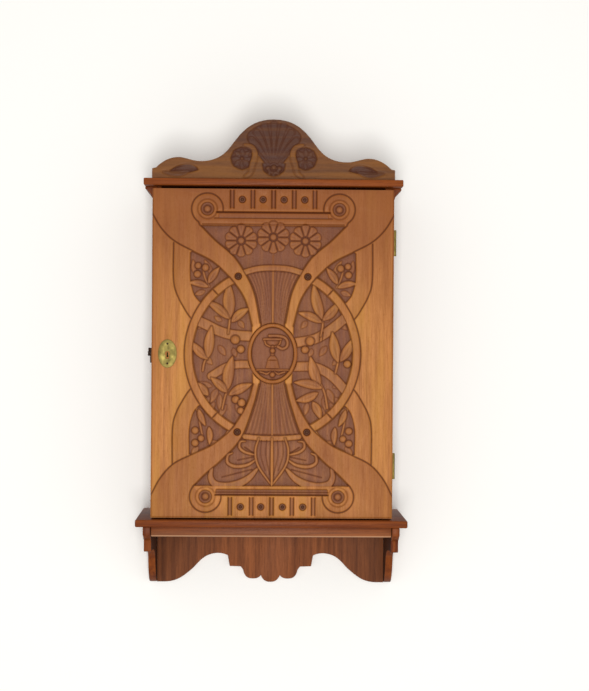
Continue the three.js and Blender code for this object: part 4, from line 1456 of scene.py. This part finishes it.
class KEYCAB_OT_beads(bpy.types.Operator):
    """Set the beads in the round pits and the tablets of the door"""

    bl_idname = "key_cabinet.beads"
    bl_label = "Beads"

    def execute(self, context):
        hardware = context.scene.key_cabinet_hardware
        tree = bead_tree()
        wood_finish = finish_named("dark_walnut_beads")
        rows = (
            ("boss_beads", BOSSES, hardware.bead, 2.2),
            ("tablet_beads", TABLET_BEADS, hardware.small_bead, 1.9),
        )
        for name, places, radius, sunk in rows:
            spots = []
            for x, z in places:
                for side in (-1, 1):
                    place = (side * x * MM, DOOR_LOW.y + sunk * MM, DOOR_LOW.z + z * MM)
                    spots.append((place, (0, 0, 0), 1.0))
            repeat(name, tree, spots, {"Radius": radius}, wood_finish, "door")
        return {"FINISHED"}


# How a screw's head is turned from +Z: about which axis, and by how many degrees.
FACING = {"front": ("X", 90), "back": ("X", -90), "right": ("Y", 90)}


def screw_spot(rng, place, facing, grow=1.0):
    """A screw's place, its turn with the slot at a random angle, and its growth."""
    axis, degrees = FACING[facing]
    slot_turn = Matrix.Rotation(rng.uniform(0, math.pi), 4, "Z")
    turn = Matrix.Rotation(math.radians(degrees), 4, axis) @ slot_turn
    return place, tuple(turn.to_euler()), grow


class KEYCAB_OT_screws(bpy.types.Operator):
    """Set slotted screws in the hinges, the strike plate and the hangers"""

    bl_idname = "key_cabinet.screws"
    bl_label = "Screws"

    def execute(self, context):
        hardware = context.scene.key_cabinet_hardware
        lengths = {
            "Radius": hardware.screw, "Proud": hardware.screw_proud, "Slot": hardware.screw_slot,
        }
        tree = screw_tree()
        rng = np.random.default_rng(4)
        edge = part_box("side_right")[1].x
        case_spots, door_spots = [], []
        for hinge in ("top", "bottom"):
            for leaf, spots, facing in (("case", case_spots, "front"), ("door", door_spots, "back")):
                low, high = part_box(f"hinge_{hinge}_{leaf}_leaf")
                x, y = (low.x + edge) / 2, self.leaf_face(hinge, leaf, edge)
                for share in (0.16, 0.5, 0.84):
                    place = (x, y, low.z + (high.z - low.z) * share)
                    spots.append(screw_spot(rng, place, facing))
        low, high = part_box("strike_plate")
        for z in (low.z + 2.8 * MM, high.z - 2.8 * MM):
            place = (high.x, (low.y + high.y) / 2, z)
            case_spots.append(screw_spot(rng, place, "right", 0.8))
        for side in ("left", "right"):
            low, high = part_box(f"hanger_plate_{side}")
            for z in (low.z + 6 * MM, high.z - 6 * MM):
                place = ((low.x + high.x) / 2, high.y, z)
                case_spots.append(screw_spot(rng, place, "back", 1.3))
        brass = finish_named("aged_brass")
        repeat("case_screws", tree, case_spots, lengths, brass, "cabinet")
        repeat("door_screws", tree, door_spots, lengths, brass, "door")
        return {"FINISHED"}

    def leaf_face(self, hinge, leaf, edge):
        """The flat face of a hinge leaf: the front of the case's leaf, the back of the door's."""
        vertices = NODES[f"hinge_{hinge}_{leaf}_leaf"].data.vertices
        depths = [v.co.y for v in vertices if v.co.x < edge - 2 * MM]
        return min(depths) if leaf == "case" else max(depths)


class KEYCAB_OT_key_hooks(bpy.types.Operator):
    """Screw the bent wire hooks into the key rails"""

    bl_idname = "key_cabinet.key_hooks"
    bl_label = "Key Hooks"

    def execute(self, context):
        hardware = context.scene.key_cabinet_hardware
        names = sorted(name for name in NODES if name.startswith("key_hook_"))
        low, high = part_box(names[0])
        flange = (high.x - low.x) / 2
        lengths = {
            "Wire": hardware.hook_wire, "Out": high.y - low.y, "Up": high.z - low.z - flange,
            "Bend": hardware.hook_bend, "Flange": flange,
        }
        spots = []
        for name in names:
            low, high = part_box(name)
            middle = ((low.x + high.x) / 2, high.y, low.z + (high.x - low.x) / 2)
            spots.append((middle, (0, 0, 0), 1.0))
        brass = finish_named("aged_brass")
        hooks = repeat("key_hooks", hook_tree(), spots, lengths, brass, "cabinet")
        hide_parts(*names)
        return {"FINISHED"}


# ---------- stage ----------
LIGHT_COLOUR = "#FFFDFA"


class KEYCAB_OT_stage(bpy.types.Operator):
    """Make the camera, the light, the wall and the floor"""

    bl_idname = "key_cabinet.stage"
    bl_label = "Stage"

    def execute(self, context):
        settings = context.scene.key_cabinet_stage
        self.camera(settings)
        self.room(settings)
        self.light(settings)
        world = bpy.data.worlds.new("even_light")
        context.scene.world = world
        world.use_nodes = True
        back = world.node_tree.nodes["Background"]
        back.inputs["Color"].default_value = linear(LIGHT_COLOUR)
        back.inputs["Strength"].default_value = settings.sky
        context.scene.view_settings.view_transform = "Standard"
        context.scene.view_settings.look = "None"
        return {"FINISHED"}

    def camera(self, settings):
        data = bpy.data.cameras.new("camera")
        data.lens = settings.lens
        data.sensor_width = 36
        data.clip_end = 30
        eye = new_object("camera", data)
        yaw, pitch, roll = settings.yaw, settings.pitch, settings.roll
        level = math.cos(pitch)
        ahead = Vector((math.sin(yaw) * level, math.cos(yaw) * level, math.sin(pitch)))
        right = Vector((math.cos(yaw), -math.sin(yaw), 0))
        up = right.cross(ahead)
        across = right * math.cos(roll) + up * math.sin(roll)
        upward = up * math.cos(roll) - right * math.sin(roll)
        turn = Matrix((across, upward, -ahead)).transposed()
        eye.matrix_world = Matrix.Translation(settings.eye) @ turn.to_4x4()
        bpy.context.scene.camera = eye

    def light(self, settings):
        """A soft panel behind the eye, narrow and tall, aimed at the middle of the door."""
        data = bpy.data.lights.new("key", "AREA")
        data.shape = "RECTANGLE"
        data.size, data.size_y = settings.light_width, settings.light_height
        data.energy = settings.light_power
        data.color = linear(LIGHT_COLOUR)[:3]
        lamp = new_object("key", data)
        lamp.location = (0, -settings.light_distance, 0)
        aim = Vector((0, 0, 0.25)) - lamp.location
        lamp.rotation_euler = aim.to_track_quat("-Z", "Y").to_euler()

    def room(self, settings):
        """A pale wall and floor that show only from their fronts and let light through, so that
        the cabinet's back can be seen too."""
        half, down, behind = settings.wall_half, -settings.floor_drop, 0.6 * MM
        front = -half * 1.5
        foot = [(-half, behind, down), (half, behind, down)]
        sheets = {
            "wall": [*foot, (half, behind, half), (-half, behind, half)],
            "floor": [(-half, front, down), (half, front, down), *reversed(foot)],
        }
        material, tree, shader = new_material("painted_plaster")
        shader.inputs["Base Color"].default_value = linear("#FAFAF8")
        shader.inputs["Roughness"].default_value = 0.9
        shader.inputs["Specular IOR Level"].default_value = 0.2
        away = add_node(tree, "ShaderNodeNewGeometry").outputs["Backfacing"]
        seen = add_node(tree, "ShaderNodeLightPath").outputs["Is Camera Ray"]
        shown = calc(tree, "MULTIPLY", seen, calc(tree, "SUBTRACT", 1.0, away))
        clear = add_node(tree, "ShaderNodeBsdfTransparent").outputs[0]
        both = add_node(tree, "ShaderNodeMixShader", {0: shown, 1: clear, 2: shader.outputs[0]})
        output = next(n for n in tree.nodes if n.bl_idname == "ShaderNodeOutputMaterial")
        tree.links.new(both.outputs[0], output.inputs["Surface"])
        for name, corners in sheets.items():
            mesh = bpy.data.meshes.new(name)
            mesh.from_pydata(corners, [], [(0, 1, 2, 3)])
            sheet = new_object(name, mesh)
            sheet.data.materials.append(material)


STEPS = [
    KEYCAB_OT_stage,
    KEYCAB_OT_door,
    KEYCAB_OT_medallion,
    KEYCAB_OT_crest,
    KEYCAB_OT_boards,
    KEYCAB_OT_metalwork,
    KEYCAB_OT_beads,
    KEYCAB_OT_screws,
    KEYCAB_OT_key_hooks,
]
GROUPS = {
    "key_cabinet_stage": StageSettings,
    "key_cabinet_carving": CarvingSettings,
    "key_cabinet_finish": FinishSettings,
    "key_cabinet_hardware": HardwareSettings,
}


class KEYCAB_PT_panel(bpy.types.Panel):
    """Lists the cabinet's settings and the steps that build it"""

    bl_idname = "KEYCAB_PT_panel"
    bl_label = "Key Cabinet"
    bl_space_type = "VIEW_3D"
    bl_region_type = "UI"
    bl_category = "Key Cabinet"

    def draw(self, context):
        for group_name in GROUPS:
            box = self.layout.box()
            group = getattr(context.scene, group_name)
            for key in group.__annotations__:
                box.prop(group, key)
        for step in STEPS:
            self.layout.operator(step.bl_idname)


def register():
    for item in (*GROUPS.values(), *STEPS, KEYCAB_PT_panel):
        bpy.utils.register_class(item)
    for name, group in GROUPS.items():
        setattr(bpy.types.Scene, name, bpy.props.PointerProperty(type=group))


def unregister():
    for name in GROUPS:
        delattr(bpy.types.Scene, name)
    for item in reversed((*GROUPS.values(), *STEPS, KEYCAB_PT_panel)):
        bpy.utils.unregister_class(item)


def main():
    register()
    for step in STEPS:
        family, action = step.bl_idname.split(".")
        getattr(getattr(bpy.ops, family), action)()


if __name__ == "__main__":
    main()
